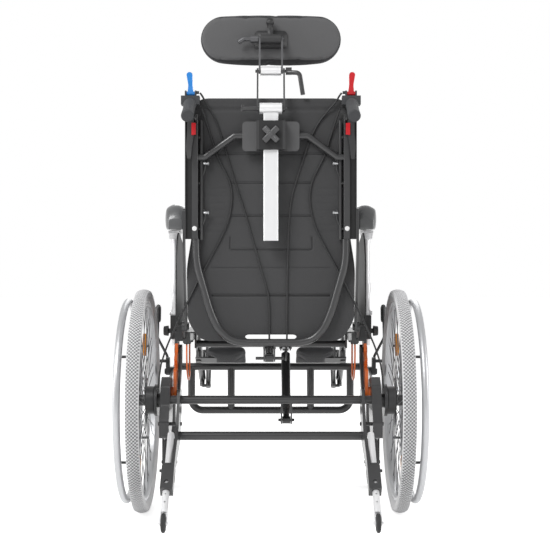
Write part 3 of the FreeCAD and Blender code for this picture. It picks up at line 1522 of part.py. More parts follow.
def legrests():
    """Legrest tubes, calf pads on their brackets, and footplates folded up against the tubes."""
    x = D.rail_x + D.rail_width / 2
    eye = cross_bar(x - 5.7, x + 5.7, D.knee_y, D.knee_z, "knee_pin_radius + 8")
    tube = bar(V(x, *leg_point(10)), V(x, *leg_point(D.leg_length)), "leg_tube_radius")
    clear = []
    for low, high in ((x - 20, x - 5.7), (x + 5.7, x + 20)):
        clear.append(cross_bar(low, high, D.knee_y, D.knee_z, "knee_pin_radius + 13"))
    along = D.calf_pad_along
    offset = -D.calf_pad_offset + D.calf_pad_depth / 2
    arm_y, arm_z = leg_point(along)
    plate_y, plate_z = leg_point(along, offset - 3)
    boss = bar(V(x, arm_y, arm_z), V(x, plate_y, plate_z), "leg_tube_radius - 2")
    reach = D.calf_pad_x + 18
    stay = doc.addObject("Part::Box", "CalfStay")
    stay.Length = x + 9 - reach
    stay.Width = 44
    stay.Height = 5
    turn = FreeCAD.Rotation(V(1, 0, 0), -D.leg_angle)
    corner = V(reach, *leg_point(along - 22, offset))
    stay.Placement = FreeCAD.Placement(corner, turn)
    foot_y, foot_z = leg_point(D.leg_length)
    across = V(0, math.sin(math.radians(D.leg_angle)), math.cos(math.radians(D.leg_angle)))
    hinge = V(x - 20, foot_y, foot_z)
    rear_end = hinge - across * 22
    front_end = hinge + across * (D.footplate_width - 22)
    fork = [bar(rear_end - across * 10, front_end + across * 10, "knee_pin_radius")]
    for low, high in ((rear_end - across * 10, rear_end), (front_end, front_end + across * 10)):
        middle = (low + high) / 2
        fork.append(bar(low, high, "knee_pin_radius + 4"))
        fork.append(bar(middle, middle + V(20, 0, 0), "knee_pin_radius"))
        fork.append(bar(V(x, foot_y, foot_z), middle + V(20, 0, 0), "leg_tube_radius - 3"))
    knee_hole = cross_bar(x - 12, x + 12, D.knee_y, D.knee_z, "knee_pin_radius + running_gap")
    joined = fuse(eye, cut(tube, *clear), boss, stay, *fork)
    pair(cut(joined, knee_hole), "legrest")

    middle = D.calf_pad_x
    half = D.calf_pad_width / 2
    sections = []
    for share, size, crown in ((0.0, 0.86, 0.5), (0.12, 0.98, 0.9), (0.5, 1.0, 1.0), (0.88, 0.98, 0.9), (1.0, 0.86, 0.5)):
        station = along + (share - 0.5) * D.calf_pad_length

        def place(u, v, station=station):
            return V(middle + u, *leg_point(station, v))

        base = offset + 5 + D.soft_gap
        sections.append(
            pillow_section(half * size, base, base + (D.calf_pad_depth - 12) * size, 2, 8 * crown, place)
        )
    pair(loft(sections, "CalfPad"), "calf_pad")

    barrel = bar(rear_end + across * D.side_gap, front_end - across * D.side_gap, "knee_pin_radius + 3")
    edges = outline(
        [
            (-1, -20),
            (-1, D.footplate_width - 26),
            (-30, D.footplate_width - 24, 8),
            (-D.footplate_length, D.footplate_width - 34, 26),
            (-D.footplate_length, -14, 22),
            (-30, -21, 8),
        ]
    )
    body, sketch = sketched_body("XY_Plane", edges)
    pad = body.newObject("PartDesign::Pad", "Pad")
    pad.Profile = sketch
    bind(pad, Length="footplate_thickness")
    along_leg = V(0, math.cos(math.radians(D.leg_angle)), -math.sin(math.radians(D.leg_angle)))
    turn = FreeCAD.Rotation(along_leg, across, along_leg.cross(across), "ZXY")
    body.Placement = FreeCAD.Placement(hinge - along_leg.cross(across) * (D.footplate_thickness / 2), turn)
    hole = bar(rear_end - across, front_end + across, "knee_pin_radius + running_gap")
    pair(cut(fuse(body, barrel), hole), "footplate")


def anti_tip_way():
    """Unit direction of an anti-tipper tube, from its upper end down to its wheel."""
    top = V(0, D.anti_tip_top_y, D.anti_tip_top_z)
    return (V(0, D.anti_tip_axle_y, D.anti_tip_axle_z) - top).normalize()


def anti_tippers():
    """Legs with latch housings, telescoping tubes with detent holes, and small wheels."""
    x = D.anti_tip_x
    way = anti_tip_way()
    top = V(x, D.anti_tip_top_y, D.anti_tip_top_z)
    axle = V(x, D.anti_tip_axle_y, D.anti_tip_axle_z)
    length = top.distanceToPoint(axle)
    side = V(0, -way.z, way.y)
    near = x - D.anti_tip_tube_radius - D.side_gap - D.leg_plate

    def on(along, out):
        point = top + way * along + side * out
        return point.y, point.z

    leg = plate(
        "YZ_Plane",
        outline(
            [
                (-62, 334, 14),
                (-4, 330, 10),
                (-6, 268, 30),
                (-58, 194, 30),
                (*on(112, 15), 30),
                (*on(194, 15), 4),
                (*on(194, -15), 4),
                (*on(106, -15), 30),
                (-114, 240, 40),
            ]
        ),
        "leg_plate",
        V(near, 0, 0),
    )
    cross = cross_bar(-near - 1, near + 1, -D.bottom_cross_back, D.bottom_cross_height, "cross_tube_radius")
    clear_rear = cross_bar(near - 2, near + D.leg_plate + 2, -D.rear_cross_back, D.rear_cross_height,
                           "cross_tube_radius + side_gap")
    clear_pin = cross_bar(near - 2, near + D.leg_plate + 2, -36, 240, "knee_pin_radius + side_gap")
    turn = FreeCAD.Rotation(V(0, 0, 1), way)

    def housing_box(start, end, half_x, half_side):
        box = doc.addObject("Part::Box", "Housing")
        box.Length = 2 * half_side
        box.Width = 2 * half_x
        box.Height = end - start
        middle = top + way * start
        spin = FreeCAD.Rotation(side, V(1, 0, 0), way, "ZXY")
        corner = middle - side * half_side - V(half_x, 0, 0)
        box.Placement = FreeCAD.Placement(corner, spin)
        return box

    housing = housing_box(118, 192, 14.5, 15)
    collar = housing_box(108, 122, 12, 12)
    tube_hole = bar(top + way * 100, top + way * 200, "anti_tip_tube_radius + running_gap")
    sight = bar(top + way * 170 - side * 30, top + way * 170, "headrest_pin_radius + 2")
    knob = cross_bar(x + 14, x + 21, *on(124, 0), "headrest_pin_radius")
    arm = cut(fuse(leg, housing, collar, knob), tube_hole, sight, clear_rear, clear_pin)
    right_side = arm
    node(fuse(cross, right_side, mirrored(right_side)), "anti_tip_brackets")

    reach = D.anti_tip_wheel_radius + 5
    tube = bar(top, top + way * (length - reach), "anti_tip_tube_radius")
    hollow = bar(top - way, top + way * (length - reach - 6), "anti_tip_tube_radius - 2")
    holes = []
    for along in (205, 230):
        middle = top + way * along
        holes.append(bar(middle - side * 12, middle, "spring_pin_radius - 2"))
    half = D.anti_tip_wheel_width / 2 + 0.8
    blades = []
    for start in (x - half - 2.4, x + half):
        body, sketch = sketched_body(
            "YZ_Plane", stadium(on(length - reach - 4, 0), on(length, 0), 6.5)
        )
        pad = body.newObject("PartDesign::Pad", "Pad")
        pad.Profile = sketch
        pad.Length = 2.4
        body.Placement.Base = V(start, 0, 0)
        blades.append(body)
    bolt = cross_bar(x - half - 6, x + half + 6, axle.y, axle.z, "spring_pin_radius")
    pair(fuse(cut(tube, hollow, *holes), *blades, bolt), "anti_tip_tube")

    width = D.anti_tip_wheel_width / 2
    r = D.anti_tip_wheel_radius
    bore = D.spring_pin_radius + D.running_gap
    wheel = turned(
        outline([(-width, bore), (-width, r - 6), (-width + 0.5, r - 4), (-width + 3, r, 2), (width - 3, r, 2),
                 (width - 0.5, r - 4), (width, r - 6), (width, bore)]),
        axle,
    )
    pair(wheel, "anti_tip_wheel")


def gas_springs():
    """The tilt spring and the recline spring: a cylinder on its pin and a rod with an open eye."""
    for name, x, fixed, moving, cylinder_radius, share in (
        (
            "tilt_spring",
            D.tilt_spring_x,
            (D.tilt_spring_low_y, D.tilt_spring_low_z),
            (D.tilt_spring_high_y, D.tilt_spring_high_z),
            "tilt_cylinder_radius",
            0.9,
        ),
        (
            "recline_spring",
            D.recline_spring_x,
            (D.recline_spring_rear_y, D.recline_spring_rear_z),
            (D.recline_spring_front_y, D.recline_spring_front_z),
            "recline_cylinder_radius",
            0.72,
        ),
    ):
        start = V(x, *fixed)
        end = V(x, *moving)
        length = start.distanceToPoint(end)
        way = (end - start).normalize()
        eye = cross_bar(x - 11, x + 11, *fixed, "spring_pin_radius + 6")
        neck = bar(start, start + way * 34, "spring_pin_radius + 4.5")
        cylinder = bar(start + way * 30, start + way * length * share, cylinder_radius)
        eye_hole = cross_bar(x - 12, x + 12, *fixed, "spring_pin_radius + running_gap")
        bore = bar(start + way * 40, start + way * (length * share + 1), "spring_rod_radius + running_gap")
        node(cut(fuse(eye, neck, cylinder), eye_hole, bore), name + "_cylinder")

        rod = bar(start + way * (length * share - 60), end - way * 8, "spring_rod_radius")
        rod_eye = cross_bar(x - 9, x + 9, *moving, "spring_pin_radius + open_eye_gap + 4.5")
        open_hole = cross_bar(x - 12, x + 12, *moving, "spring_pin_radius + open_eye_gap")
        node(cut(fuse(rod, rod_eye), open_hole), name + "_rod")


def wheel_locks():
    """Wheel lock levers: a plate on its pin, a shoe bar before the tyre and a rod up to a grip."""
    x = D.casting_inner + 30
    y = D.lock_pivot_y
    z = D.lock_pivot_z
    body, sketch = sketched_body("YZ_Plane", stadium((y, z), (y - 5, z + 32), 11))
    pad = body.newObject("PartDesign::Pad", "Pad")
    pad.Profile = sketch
    pad.Length = 11.6
    body.Placement.Base = V(x, 0, 0)
    shoe = cross_bar(x + 1, x + 54, y - 5.6, z + 31.5, "lock_shoe_radius")
    rod = bent_tube(
        [(x + 6, y + 2, z + 14), (x + 8, y + 6, z + 44), (x + 38, y + 10, z + 100), (x + 37, y + 16, z + 160)],
        24,
        "lock_rod_radius",
    )
    low = V(x + 37.3, y + 14, z + 146)
    grip_way = V(-0.02, 0.1, 1).normalize()
    grip = turned(outline([(0, 0), (0, 7, 2), (8, 9, 4), (44, 8.5, 8), (52, 5, 4), (54, 0)]), low, grip_way)
    hole = cross_bar(x - 2, x + 14, y, z, "knee_pin_radius + running_gap")
    pair(cut(fuse(body, shoe, rod, grip), hole), "wheel_lock")


def cables():
    """Cables of the drum brakes and of the two gas springs."""
    shell = -D.shell_rear - D.cable_radius - 0.7
    lever_y = D.lever_pivot_y
    back = []
    for side in (1, -1):
        points = [
            (side * 181, -112, 1074),
            (side * 174, -106, 1054),
            (side * 164, shell - 2, 1024),
            (side * 152, shell, 986),
            (side * 139, shell, 946),
            (side * 122, shell, 916),
            (side * 106, shell, 882),
            (side * 101, shell, 842),
            (side * 107, shell, 796),
            (side * 123, shell, 750),
            (side * 148, shell, 704),
        ]
        back.append(cable(points, "BrakeCable"))
    tilt_points = [
        (185.7, lever_y, D.lever_pivot_z + 2),
        (180, lever_y + 1, 1110),
        (172, lever_y + 4, 1094),
        (157, -102, 1078),
        (134, shell, 1051),
        (115, shell, 1022),
        (99, shell, 984),
        (83, shell, 938),
        (66, shell, 886),
        (53, shell, 836),
        (47.5, shell, 780),
        (45.5, shell, 722),
        (44, shell, 664),
        (42.6, shell, 608),
        (42.5, shell, 560),
        (42, shell, 520),
    ]
    back.append(cable(tilt_points, "TiltCable"))
    recline_points = [
        (-185.7, lever_y, D.lever_pivot_z + 2),
        (-180, lever_y + 1, 1110),
        (-170, lever_y + 4, 1088),
        (-149, -102, 1056),
        (-133, shell, 1014),
        (-120, shell, 970),
        (-106, shell, 926),
        (-92, shell, 876),
        (-73, shell, 820),
        (-57, shell, 766),
        (-42, shell, 712),
        (-26, shell, 654),
        (-9, shell, 598),
        (-4, shell, 558),
        (-4.2, shell, 518),
        (-4, shell, 476),
        (-4.2, shell, 435),
    ]
    back.append(cable(recline_points, "ReclineCable"))
    node(group(*back), "back_cables")

    to_tilt = [
        (42, shell, 519.5),
        (42.4, shell, 490),
        (42, shell, 458),
        (41, -84, 430),
        (40, -50, 412),
        (40, 0, 408),
        (41, 50, 418),
        (42, 100, 434),
        (42, 138, 440),
        (42, 162, 437),
    ]
    node(cable(to_tilt, "TiltCableEnd"), "tilt_cable_end")

    low = []
    for side in (1, -1):
        points = [
            (side * 148.3, shell, 703.5),
            (side * 171, shell, 662),
            (side * 196, shell, 614),
            (side * 220, shell, 566),
            (side * 243, shell + 14, 522),
            (side * 263, shell + 30, 480),
            (side * 281, shell + 45, 440),
            (side * 294, shell + 58, 400),
            (side * 301, shell + 68, 364),
            (side * 302.5, shell + 73, 335),
        ]
        low.append(cable(points, "HubCable"))
    node(group(*low), "hub_cables")


def check_and_write():
    """Moves the chair to its origin, checks every object and writes one file for each sub-part."""
    doc.recompute()
    whole = FreeCAD.BoundBox()
    for part in nodes:
        if "cables" not in part.Label:
            whole.add(part.Shape.optimalBoundingBox(False, False))
    shift = V(-(whole.XMin + whole.XMax) / 2, -(whole.YMin + whole.YMax) / 2, -whole.ZMin)
    print("rear axle lies at", round(shift.x, 4), round(shift.y, 4), round(shift.z, 4))
    print("size", round(whole.XLength, 2), round(whole.YLength, 2), round(whole.ZLength, 2))
    faults = []
    for item in doc.Objects:
        if "Invalid" in item.State or "Error" in item.State:
            faults.append(f"{item.Name} {item.Label} {item.State}")
    shapes = {}
    for part in nodes:
        shape = part.Shape.copy()
        shape.translate(shift)
        if shape.isNull() or not shape.isValid() or not shape.Solids:
            faults.append(f"{part.Label} has no sound shape")
        shapes[part.Label] = shape
    if faults:
        raise RuntimeError("; ".join(faults))
    os.makedirs("parts", exist_ok=True)
    for label, shape in shapes.items():
        shape.exportStep(f"parts/{label}.step")
    print(len(shapes), "sub-parts,", sum(len(s.Solids) for s in shapes.values()), "solids")


rear_wheel()
axles()
chassis()
casters()
tilt_mechanism()
seat_frame()
seat_cushion()
side_guards()
armrests()
back_posts()
back_tube()
back_shell()
back_cushion()
push_handles()
hand_levers()
brake_levers()
headrest_mount()
headrest()
legrests()
anti_tippers()
gas_springs()
wheel_locks()
cables()
check_and_write()
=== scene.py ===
"""A tilt-in-space wheelchair: finishes, soft goods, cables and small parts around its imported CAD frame."""
import logging
import math
from dataclasses import dataclass, field
from enum import Enum
from typing import Callable, Iterable, Sequence

import bmesh
import bpy
from mathutils import Matrix, Vector


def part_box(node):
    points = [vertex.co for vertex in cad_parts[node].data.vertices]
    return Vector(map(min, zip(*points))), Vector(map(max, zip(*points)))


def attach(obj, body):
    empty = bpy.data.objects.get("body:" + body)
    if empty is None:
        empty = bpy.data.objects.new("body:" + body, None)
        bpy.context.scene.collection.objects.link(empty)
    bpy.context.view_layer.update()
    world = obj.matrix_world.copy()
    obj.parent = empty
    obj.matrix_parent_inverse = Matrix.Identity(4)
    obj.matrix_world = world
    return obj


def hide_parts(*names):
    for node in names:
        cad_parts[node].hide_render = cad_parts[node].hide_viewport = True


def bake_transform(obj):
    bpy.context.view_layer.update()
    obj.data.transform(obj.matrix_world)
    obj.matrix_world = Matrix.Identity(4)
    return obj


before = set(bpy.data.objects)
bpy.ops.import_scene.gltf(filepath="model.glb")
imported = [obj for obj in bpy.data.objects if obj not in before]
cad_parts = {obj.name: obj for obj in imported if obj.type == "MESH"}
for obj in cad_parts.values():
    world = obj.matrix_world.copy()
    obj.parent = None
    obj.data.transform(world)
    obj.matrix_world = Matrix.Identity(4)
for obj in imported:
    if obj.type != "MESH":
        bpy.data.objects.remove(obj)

log = logging.getLogger("wheelchair")
MM = 0.001
ANYWHERE = 9999
AXLE_Y = (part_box("tyre_left")[0].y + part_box("tyre_left")[1].y) / 2
Triple = tuple[float, float, float]
SIDES = (("right", 1), ("left", -1))


def at(x: float, y: float, z: float) -> Vector:
    """A point given in millimetres, with y measured from the rear axle, as a point of the frame in metres."""
    return Vector((x * MM, y * MM + AXLE_Y, z * MM))


def linear(shade: int) -> float:
    """One display value from 0 to 255 as the linear value a shader takes."""
    v = shade / 255
    return v / 12.92 if v <= 0.04045 else ((v + 0.055) / 1.055) ** 2.4


def rgba(colour: tuple[int, int, int], factor: float = 1.0) -> tuple[float, float, float, float]:
    """A display colour as linear RGBA, lightened or darkened by a factor."""
    r, g, b = (min(linear(c) * factor, 1.0) for c in colour)
    return (r, g, b, 1.0)


class Value:
    """A number socket of a node tree, on which Python arithmetic adds Math nodes."""

    def __init__(self, tree: "Tree", socket: bpy.types.NodeSocket) -> None:
        """Keeps the tree and the socket."""
        self.tree = tree
        self.socket = socket

    def math(self, operation: str, *others: "Value | float", first: "Value | float | None" = None) -> "Value":
        """Adds a Math node.

        Args:
            operation: the node's operation.
            others: the operands after the first.
            first: the first operand, this value if none is given.

        Returns:
            The node's result.
        """
        operands = [self if first is None else first, *others]
        node = self.tree.add("ShaderNodeMath", {"operation": operation}, *operands)
        return Value(self.tree, node.outputs[0])

    def __add__(self, other: "Value | float") -> "Value":
        """Sum."""
        return self.math("ADD", other)

    __radd__ = __add__

    def __mul__(self, other: "Value | float") -> "Value":
        """Product."""
        return self.math("MULTIPLY", other)

    __rmul__ = __mul__

    def __sub__(self, other: "Value | float") -> "Value":
        """Difference."""
        return self.math("SUBTRACT", other)

    def __rsub__(self, other: float) -> "Value":
        """Difference with a number first."""
        return self.math("SUBTRACT", self, first=other)

    def __gt__(self, other: "Value | float") -> "Value":
        """1 where this value is the greater one."""
        return self.math("GREATER_THAN", other)

    def __lt__(self, other: "Value | float") -> "Value":
        """1 where this value is the smaller one."""
        return self.math("LESS_THAN", other)

    def __abs__(self) -> "Value":
        """Absolute value."""
        return self.math("ABSOLUTE")

    def wave(self, pitch: float) -> "Value":
        """A sine of this length in metres."""
        return (self * (2 * math.pi / pitch)).math("SINE")


class Tree:
    """A material's node tree."""

    def __init__(self, material: bpy.types.Material) -> None:
        """Empties the material's tree and adds the object's coordinates."""
        material.use_nodes = True
        self.tree = material.node_tree
        self.tree.nodes.clear()
        self.place = self.add("ShaderNodeTexCoord").outputs["Object"]
        split = self.add("ShaderNodeSeparateXYZ", None, self.place)
        self.x, self.y, self.z = (Value(self, s) for s in split.outputs)

    def add(self, kind: str, settings: dict | None = None, *first, **named) -> bpy.types.Node:
        """Adds one node.

        Args:
            kind: the node's type.
            settings: its properties, and a ramp's stops.
            first: values or links of its first sockets.
            named: values or links of sockets by name, with _ for a space.

        Returns:
            The node.
        """
        node = self.tree.nodes.new(kind)
        for name, value in (settings or {}).items():
            if name == "stops":
                while len(node.color_ramp.elements) < len(value):
                    node.color_ramp.elements.new(0.5)
                for element, (position, colour) in zip(node.color_ramp.elements, value):
                    element.position = position
                    element.color = colour
            else:
                setattr(node, name, value)
        for index, value in enumerate(first):
            self.put(node.inputs[index], value)
        for name, value in named.items():
            self.put(node.inputs[name.replace("_", " ")], value)
        return node

    def put(self, socket: bpy.types.NodeSocket, value: object) -> None:
        """Links a value or a socket to a socket, or sets a number or colour on it."""
        if isinstance(value, Value):
            value = value.socket
        if isinstance(value, bpy.types.NodeSocket):
            self.tree.links.new(value, socket)
        else:
            socket.default_value = value

    def noise(self, size: float, detail: float = 2.0, stretch: Triple = (1, 1, 1)) -> Value:
        """Noise on the object's coordinates, with blobs of about a size in metres."""
        scaled = self.add("ShaderNodeMapping", None, self.place, Scale=stretch)
        node = self.add("ShaderNodeTexNoise", None, Vector=scaled.outputs[0], Scale=1 / size, Detail=detail)
        return Value(self, node.outputs[0])

    def cells(self, size: float) -> Value:
        """Distance to the edges of cells of about a size in metres."""
        settings = {"feature": "DISTANCE_TO_EDGE"}
        node = self.add("ShaderNodeTexVoronoi", settings, Vector=self.place, Scale=1 / size)
        return Value(self, node.outputs[0])

    def ramp(self, value: Value, low: float, high: float, start: float = 0.0, end: float = 1.0) -> Value:
        """Maps a value smoothly from one range to another."""
        settings = {"interpolation_type": "SMOOTHSTEP"}
        node = self.add("ShaderNodeMapRange", settings, value, low, high, start, end)
        return Value(self, node.outputs[0])

    def mix(self, factor: Value, a: object, b: object) -> bpy.types.NodeSocket:
        """A colour between two."""
        node = self.add("ShaderNodeMix", {"data_type": "RGBA"})
        self.put(node.inputs[0], factor)
        self.put(node.inputs[6], a)
        self.put(node.inputs[7], b)
        return node.outputs[2]


class Surface(Enum):
    """How a finish is made."""

    POWDER = "powder coat"
    BRUSHED = "brushed metal"
    CAST = "cast metal"
    WEAVE = "woven cloth"
    HIDE = "grained leathercloth"
    RUBBER = "rubber"
    MOULDED = "moulded plastic"
    PRISM = "prismatic lens"


@dataclass(frozen=True)
class Finish:
    """One finish: a colour, its gloss and the fine structure of its surface."""

    name: str
    colour: tuple[int, int, int]
    surface: Surface
    roughness: float = 0.5
    metallic: float = 0.0
    grain: float = 0.6
    relief: float = 0.02
    mottle_and_hollow_shade: float = 0.12
    stretch: Triple = (1, 1, 1)
    coat: float = 0.0
    sheen: float = 0.0

    def height(self, tree: Tree) -> Value:
        """The relief of the surface, from 0 to 1."""
        size = self.grain * MM
        if self.surface is Surface.WEAVE:
            x, y, z = tree.x.wave(size), tree.y.wave(size), tree.z.wave(size)
            return (x * z + y * z + x * y) * 0.3 + 0.5 + tree.noise(size * 0.4) * 0.25
        if self.surface is Surface.HIDE:
            return tree.ramp(tree.cells(size), 0.0, 0.12)
        if self.surface is Surface.PRISM:
            return abs(tree.y.wave(size)) * abs(tree.z.wave(size))
        if self.surface is Surface.BRUSHED:
            return tree.noise(size, 3.0, self.stretch)
        return tree.noise(size, 4.0)

    def shader(self, tree: Tree) -> bpy.types.NodeSocket:
        """Adds the finish to a node tree.

        Args:
            tree: the tree of the material that has it.

        Returns:
            The shader's output.
        """
        height = self.height(tree)
        cloud = tree.noise(0.045, 3.0)
        # Colour follows the relief, darker where the surface lies lower: painted shade in the hollows of the
        # weave, the grain and the prisms, mixed with a random cloud of tone.
        fine = height * 0.6 + cloud * 0.4
        colour = tree.mix(fine, rgba(self.colour, 1 - self.mottle_and_hollow_shade), rgba(self.colour, 1 + self.mottle_and_hollow_shade))
        scuffs = tree.ramp(tree.noise(0.006, 5.0, (1, 1, 0.2)), 0.62, 0.72)
        rough = cloud * 0.12 + scuffs * 0.06 + (self.roughness - 0.06)
        bump = tree.add("ShaderNodeBump", None, Height=height, Distance=self.relief * MM, Strength=1.0)
        body = tree.add(
            "ShaderNodeBsdfPrincipled",
            None,
            Base_Color=colour,
            Roughness=rough,
            Metallic=self.metallic,
            Normal=bump.outputs[0],
            Coat_Weight=self.coat,
            Sheen_Weight=self.sheen,
            Sheen_Roughness=0.5,
        )
        return body.outputs[0]

    def material(self) -> bpy.types.Material:
        """The finish as a material, made once."""
        made = bpy.data.materials.get(self.name)
        if made:
            return made
        made = bpy.data.materials.new(self.name)
        tree = Tree(made)
        tree.add("ShaderNodeOutputMaterial", None, self.shader(tree))
        return made


@dataclass(frozen=True)
class Zone:
    """A part of a piece: a box, or a round bar along X, in millimetres. X is taken on both sides."""

    x: tuple[float, float] = (0, ANYWHERE)
    y: tuple[float, float] = (-ANYWHERE, ANYWHERE)
    z: tuple[float, float] = (-ANYWHERE, ANYWHERE)
    axis: tuple[float, float] | None = None
    radius: float = 0.0

    def mask(self, tree: Tree) -> Value:
        """1 inside the zone."""
        sides = [(abs(tree.x), self.x, 0), (tree.y, self.y, AXLE_Y), (tree.z, self.z, 0)]
        found = Value(tree, abs(tree.x).socket) > -1.0
        for value, (low, high), origin in sides:
            if abs(low) < ANYWHERE and low != 0:
                found = found * (value > low * MM + origin)
            if abs(high) < ANYWHERE:
                found = found * (value < high * MM + origin)
        if self.axis:
            y, z = self.axis
            dy, dz = tree.y - (y * MM + AXLE_Y), tree.z - z * MM
            found = found * ((dy * dy + dz * dz).math("SQRT") < self.radius * MM)
        return found


@dataclass(frozen=True)
class Zoned:
    """A finish with another one in some zones."""

    name: str
    base: Finish
    patches: tuple[tuple[Finish, Zone], ...]

    def material(self) -> bpy.types.Material:
        """The finish as a material, made once."""
        made = bpy.data.materials.get(self.name)
        if made:
            return made
        made = bpy.data.materials.new(self.name)
        tree = Tree(made)
        shader = self.base.shader(tree)
        for finish, zone in self.patches:
            joined = tree.add("ShaderNodeMixShader", None, zone.mask(tree), shader, finish.shader(tree))
            shader = joined.outputs[0]
        tree.add("ShaderNodeOutputMaterial", None, shader)
        return made


BLACK_PAINT = Finish("satin_black_paint", (52, 52, 53), Surface.POWDER, 0.34, 0, 0.9, 0.012, 0.12, coat=0.3)
# Near black: painted shade in the posts' channel, round the headrest knob and in the cover's seams and
# pleats, and the dark zip tape.
SHADE_AND_TAPE_BLACK = Finish("painted_shade_and_tape_black", (24, 24, 25), Surface.POWDER, 0.6, 0, 0.9, 0.012, 0.12)
LINK_GREY = Finish("dark_grey_steel", (92, 92, 94), Surface.CAST, 0.38, 0.5, 0.6, 0.004, 0.06)
SPOKE_STEEL = Finish("spoke_steel", (96, 97, 99), Surface.CAST, 0.45, 0.2, 0.6, 0.002, 0.06)
GREY_PAINT = Finish("grey_paint", (84, 84, 85), Surface.POWDER, 0.5, 0, 0.9, 0.012, 0.1)
ORANGE_PAINT = Finish("orange_paint", (236, 112, 38), Surface.POWDER, 0.42, 0, 0.9, 0.012, 0.1, coat=0.2)
ALUMINIUM = Finish(
    "brushed_aluminium", (240, 240, 241), Surface.BRUSHED, 0.34, 0.35, 0.25, 0.004, 0.04, (1, 1, 0.03)
)
SATIN_RIM = Finish("satin_anodised_rim", (196, 197, 199), Surface.BRUSHED, 0.36, 0.75, 0.5, 0.004, 0.05)
PALE_RING = Finish("pale_anodised_ring", (194, 195, 197), Surface.BRUSHED, 0.4, 0.7, 0.5, 0.003, 0.04)
STEEL = Finish("bright_steel", (190, 191, 193), Surface.CAST, 0.3, 0.9, 0.6, 0.004, 0.06)
BLACK_PLASTIC = Finish("black_plastic", (44, 44, 45), Surface.MOULDED, 0.5, 0, 0.35, 0.02, 0.1)
KNOB_PLASTIC = Finish("knob_plastic", (78, 78, 79), Surface.MOULDED, 0.4, 0, 0.35, 0.02, 0.1, coat=0.3)
SOFT_GRIP = Finish("grip_rubber", (62, 63, 65), Surface.RUBBER, 0.72, 0, 0.5, 0.03, 0.1)
BLACK_RUBBER = Finish("black_rubber", (46, 46, 47), Surface.RUBBER, 0.7, 0, 0.5, 0.03, 0.1)
GREY_RUBBER = Finish("grey_tyre_rubber", (222, 222, 223), Surface.RUBBER, 0.66, 0, 0.7, 0.03, 0.05)
# Darker grey for the tread between the studs: painted shade in the valleys.
TREAD_VALLEY_SHADE = Finish("tread_valley_shade_grey", (132, 132, 134), Surface.RUBBER, 0.72, 0, 0.7, 0.03, 0.05)
COVER_CLOTH = Finish(
    "charcoal_cover_cloth", (64, 64, 65), Surface.WEAVE, 0.85, 0, 1.3, 0.12, 0.16, sheen=0.15
)
CUSHION_CLOTH = Finish(
    "charcoal_cushion_cloth", (56, 56, 58), Surface.WEAVE, 0.88, 0, 1.6, 0.15, 0.16, sheen=0.2
)
PAD_SKIN = Finish("armrest_skin", (92, 93, 94), Surface.HIDE, 0.3, 0, 1.1, 0.03, 0.1, coat=0.6)
HEAD_CLOTH = Finish("grey_headrest_cloth", (88, 88, 89), Surface.HIDE, 0.78, 0, 0.9, 0.05, 0.08, sheen=0.1)
EDGE_CLOTH = Finish("dark_edge_cloth", (48, 48, 50), Surface.WEAVE, 0.85, 0, 1.2, 0.1, 0.12)
BLUE_PLASTIC = Finish("blue_plastic", (36, 132, 214), Surface.MOULDED, 0.38, 0, 0.5, 0.01, 0.06, coat=0.2)
RED_PLASTIC = Finish("red_plastic", (200, 18, 30), Surface.MOULDED, 0.38, 0, 0.5, 0.01, 0.06, coat=0.2)
ORANGE_LENS = Finish("orange_lens", (240, 148, 22), Surface.PRISM, 0.2, 0, 3.0, 0.5, 0.3, coat=0.4)
CABLE_SKIN = Finish("cable_skin", (38, 38, 39), Surface.RUBBER, 0.5, 0, 0.6, 0.01, 0.08)
WHITE_CAP = Finish("white_cap", (236, 236, 236), Surface.MOULDED, 0.4, 0, 0.5, 0.01, 0.04)
THREAD = Finish("dark_thread", (40, 40, 42), Surface.RUBBER, 0.8, 0, 0.3, 0.02, 0.1)

HUB = Zoned("hub_and_spokes", SPOKE_STEEL, ((BLACK_PAINT, Zone(axis=(0, 300), radius=39)),))
POST = Zoned(
    "post_paint_and_channel_shade",
    BLACK_PAINT,
    # The channel in the posts' rear face is painted near black: painted shade in the recess.
    ((SHADE_AND_TAPE_BLACK, Zone(x=(205.9, 222.1), y=(-124.9, -115.5))),),
)
BRAKE_LEVER = Zoned(
    "brake_lever_paint",
    BLACK_PLASTIC,
    ((RED_PLASTIC, Zone(x=(193.5, 205.5), y=(-150, -142.6), z=(1001, 1033))),),
)
LOW_HEAD_LINK = Zoned(
    "low_link_finish",
    BLACK_PAINT,
    ((ALUMINIUM, Zone(x=(0, 26.2), axis=(-95, 1175), radius=12.6)),),
)
HANDRIM = Zoned("ring_and_standoffs", PALE_RING, ((BLACK_PLASTIC, Zone(x=(0, 375.2))),))
AXLE = Zoned("axle_and_plates", BLACK_PAINT, ((STEEL, Zone(x=(366.2, ANYWHERE))),))
SEAT_SECTOR = Zoned("seat_sector_paint", ORANGE_PAINT, ((BLACK_PAINT, Zone(z=(450.6, ANYWHERE))),))
TILT_LINK = Zoned("link_paint", BLACK_PAINT, ((STEEL, Zone(axis=(-36, 240), radius=7.2)),))
HEAD_MOUNT = Zoned(
    "headrest_mount_paint_and_shade",
    BLACK_PAINT,
    (
        (GREY_PAINT, Zone(x=(0, 75), y=(-123.2, -117.8), z=(961, 1040))),
        # The middle block round the knob is painted near black: painted shade from the knob.
        (SHADE_AND_TAPE_BLACK, Zone(x=(0, 30.5), y=(-160, -123.3), z=(955, 1046))),
    ),
)
HEAD_STEM = Zoned("stem_aluminium", ALUMINIUM, ((BLACK_PLASTIC, Zone(x=(29.1, ANYWHERE))),))

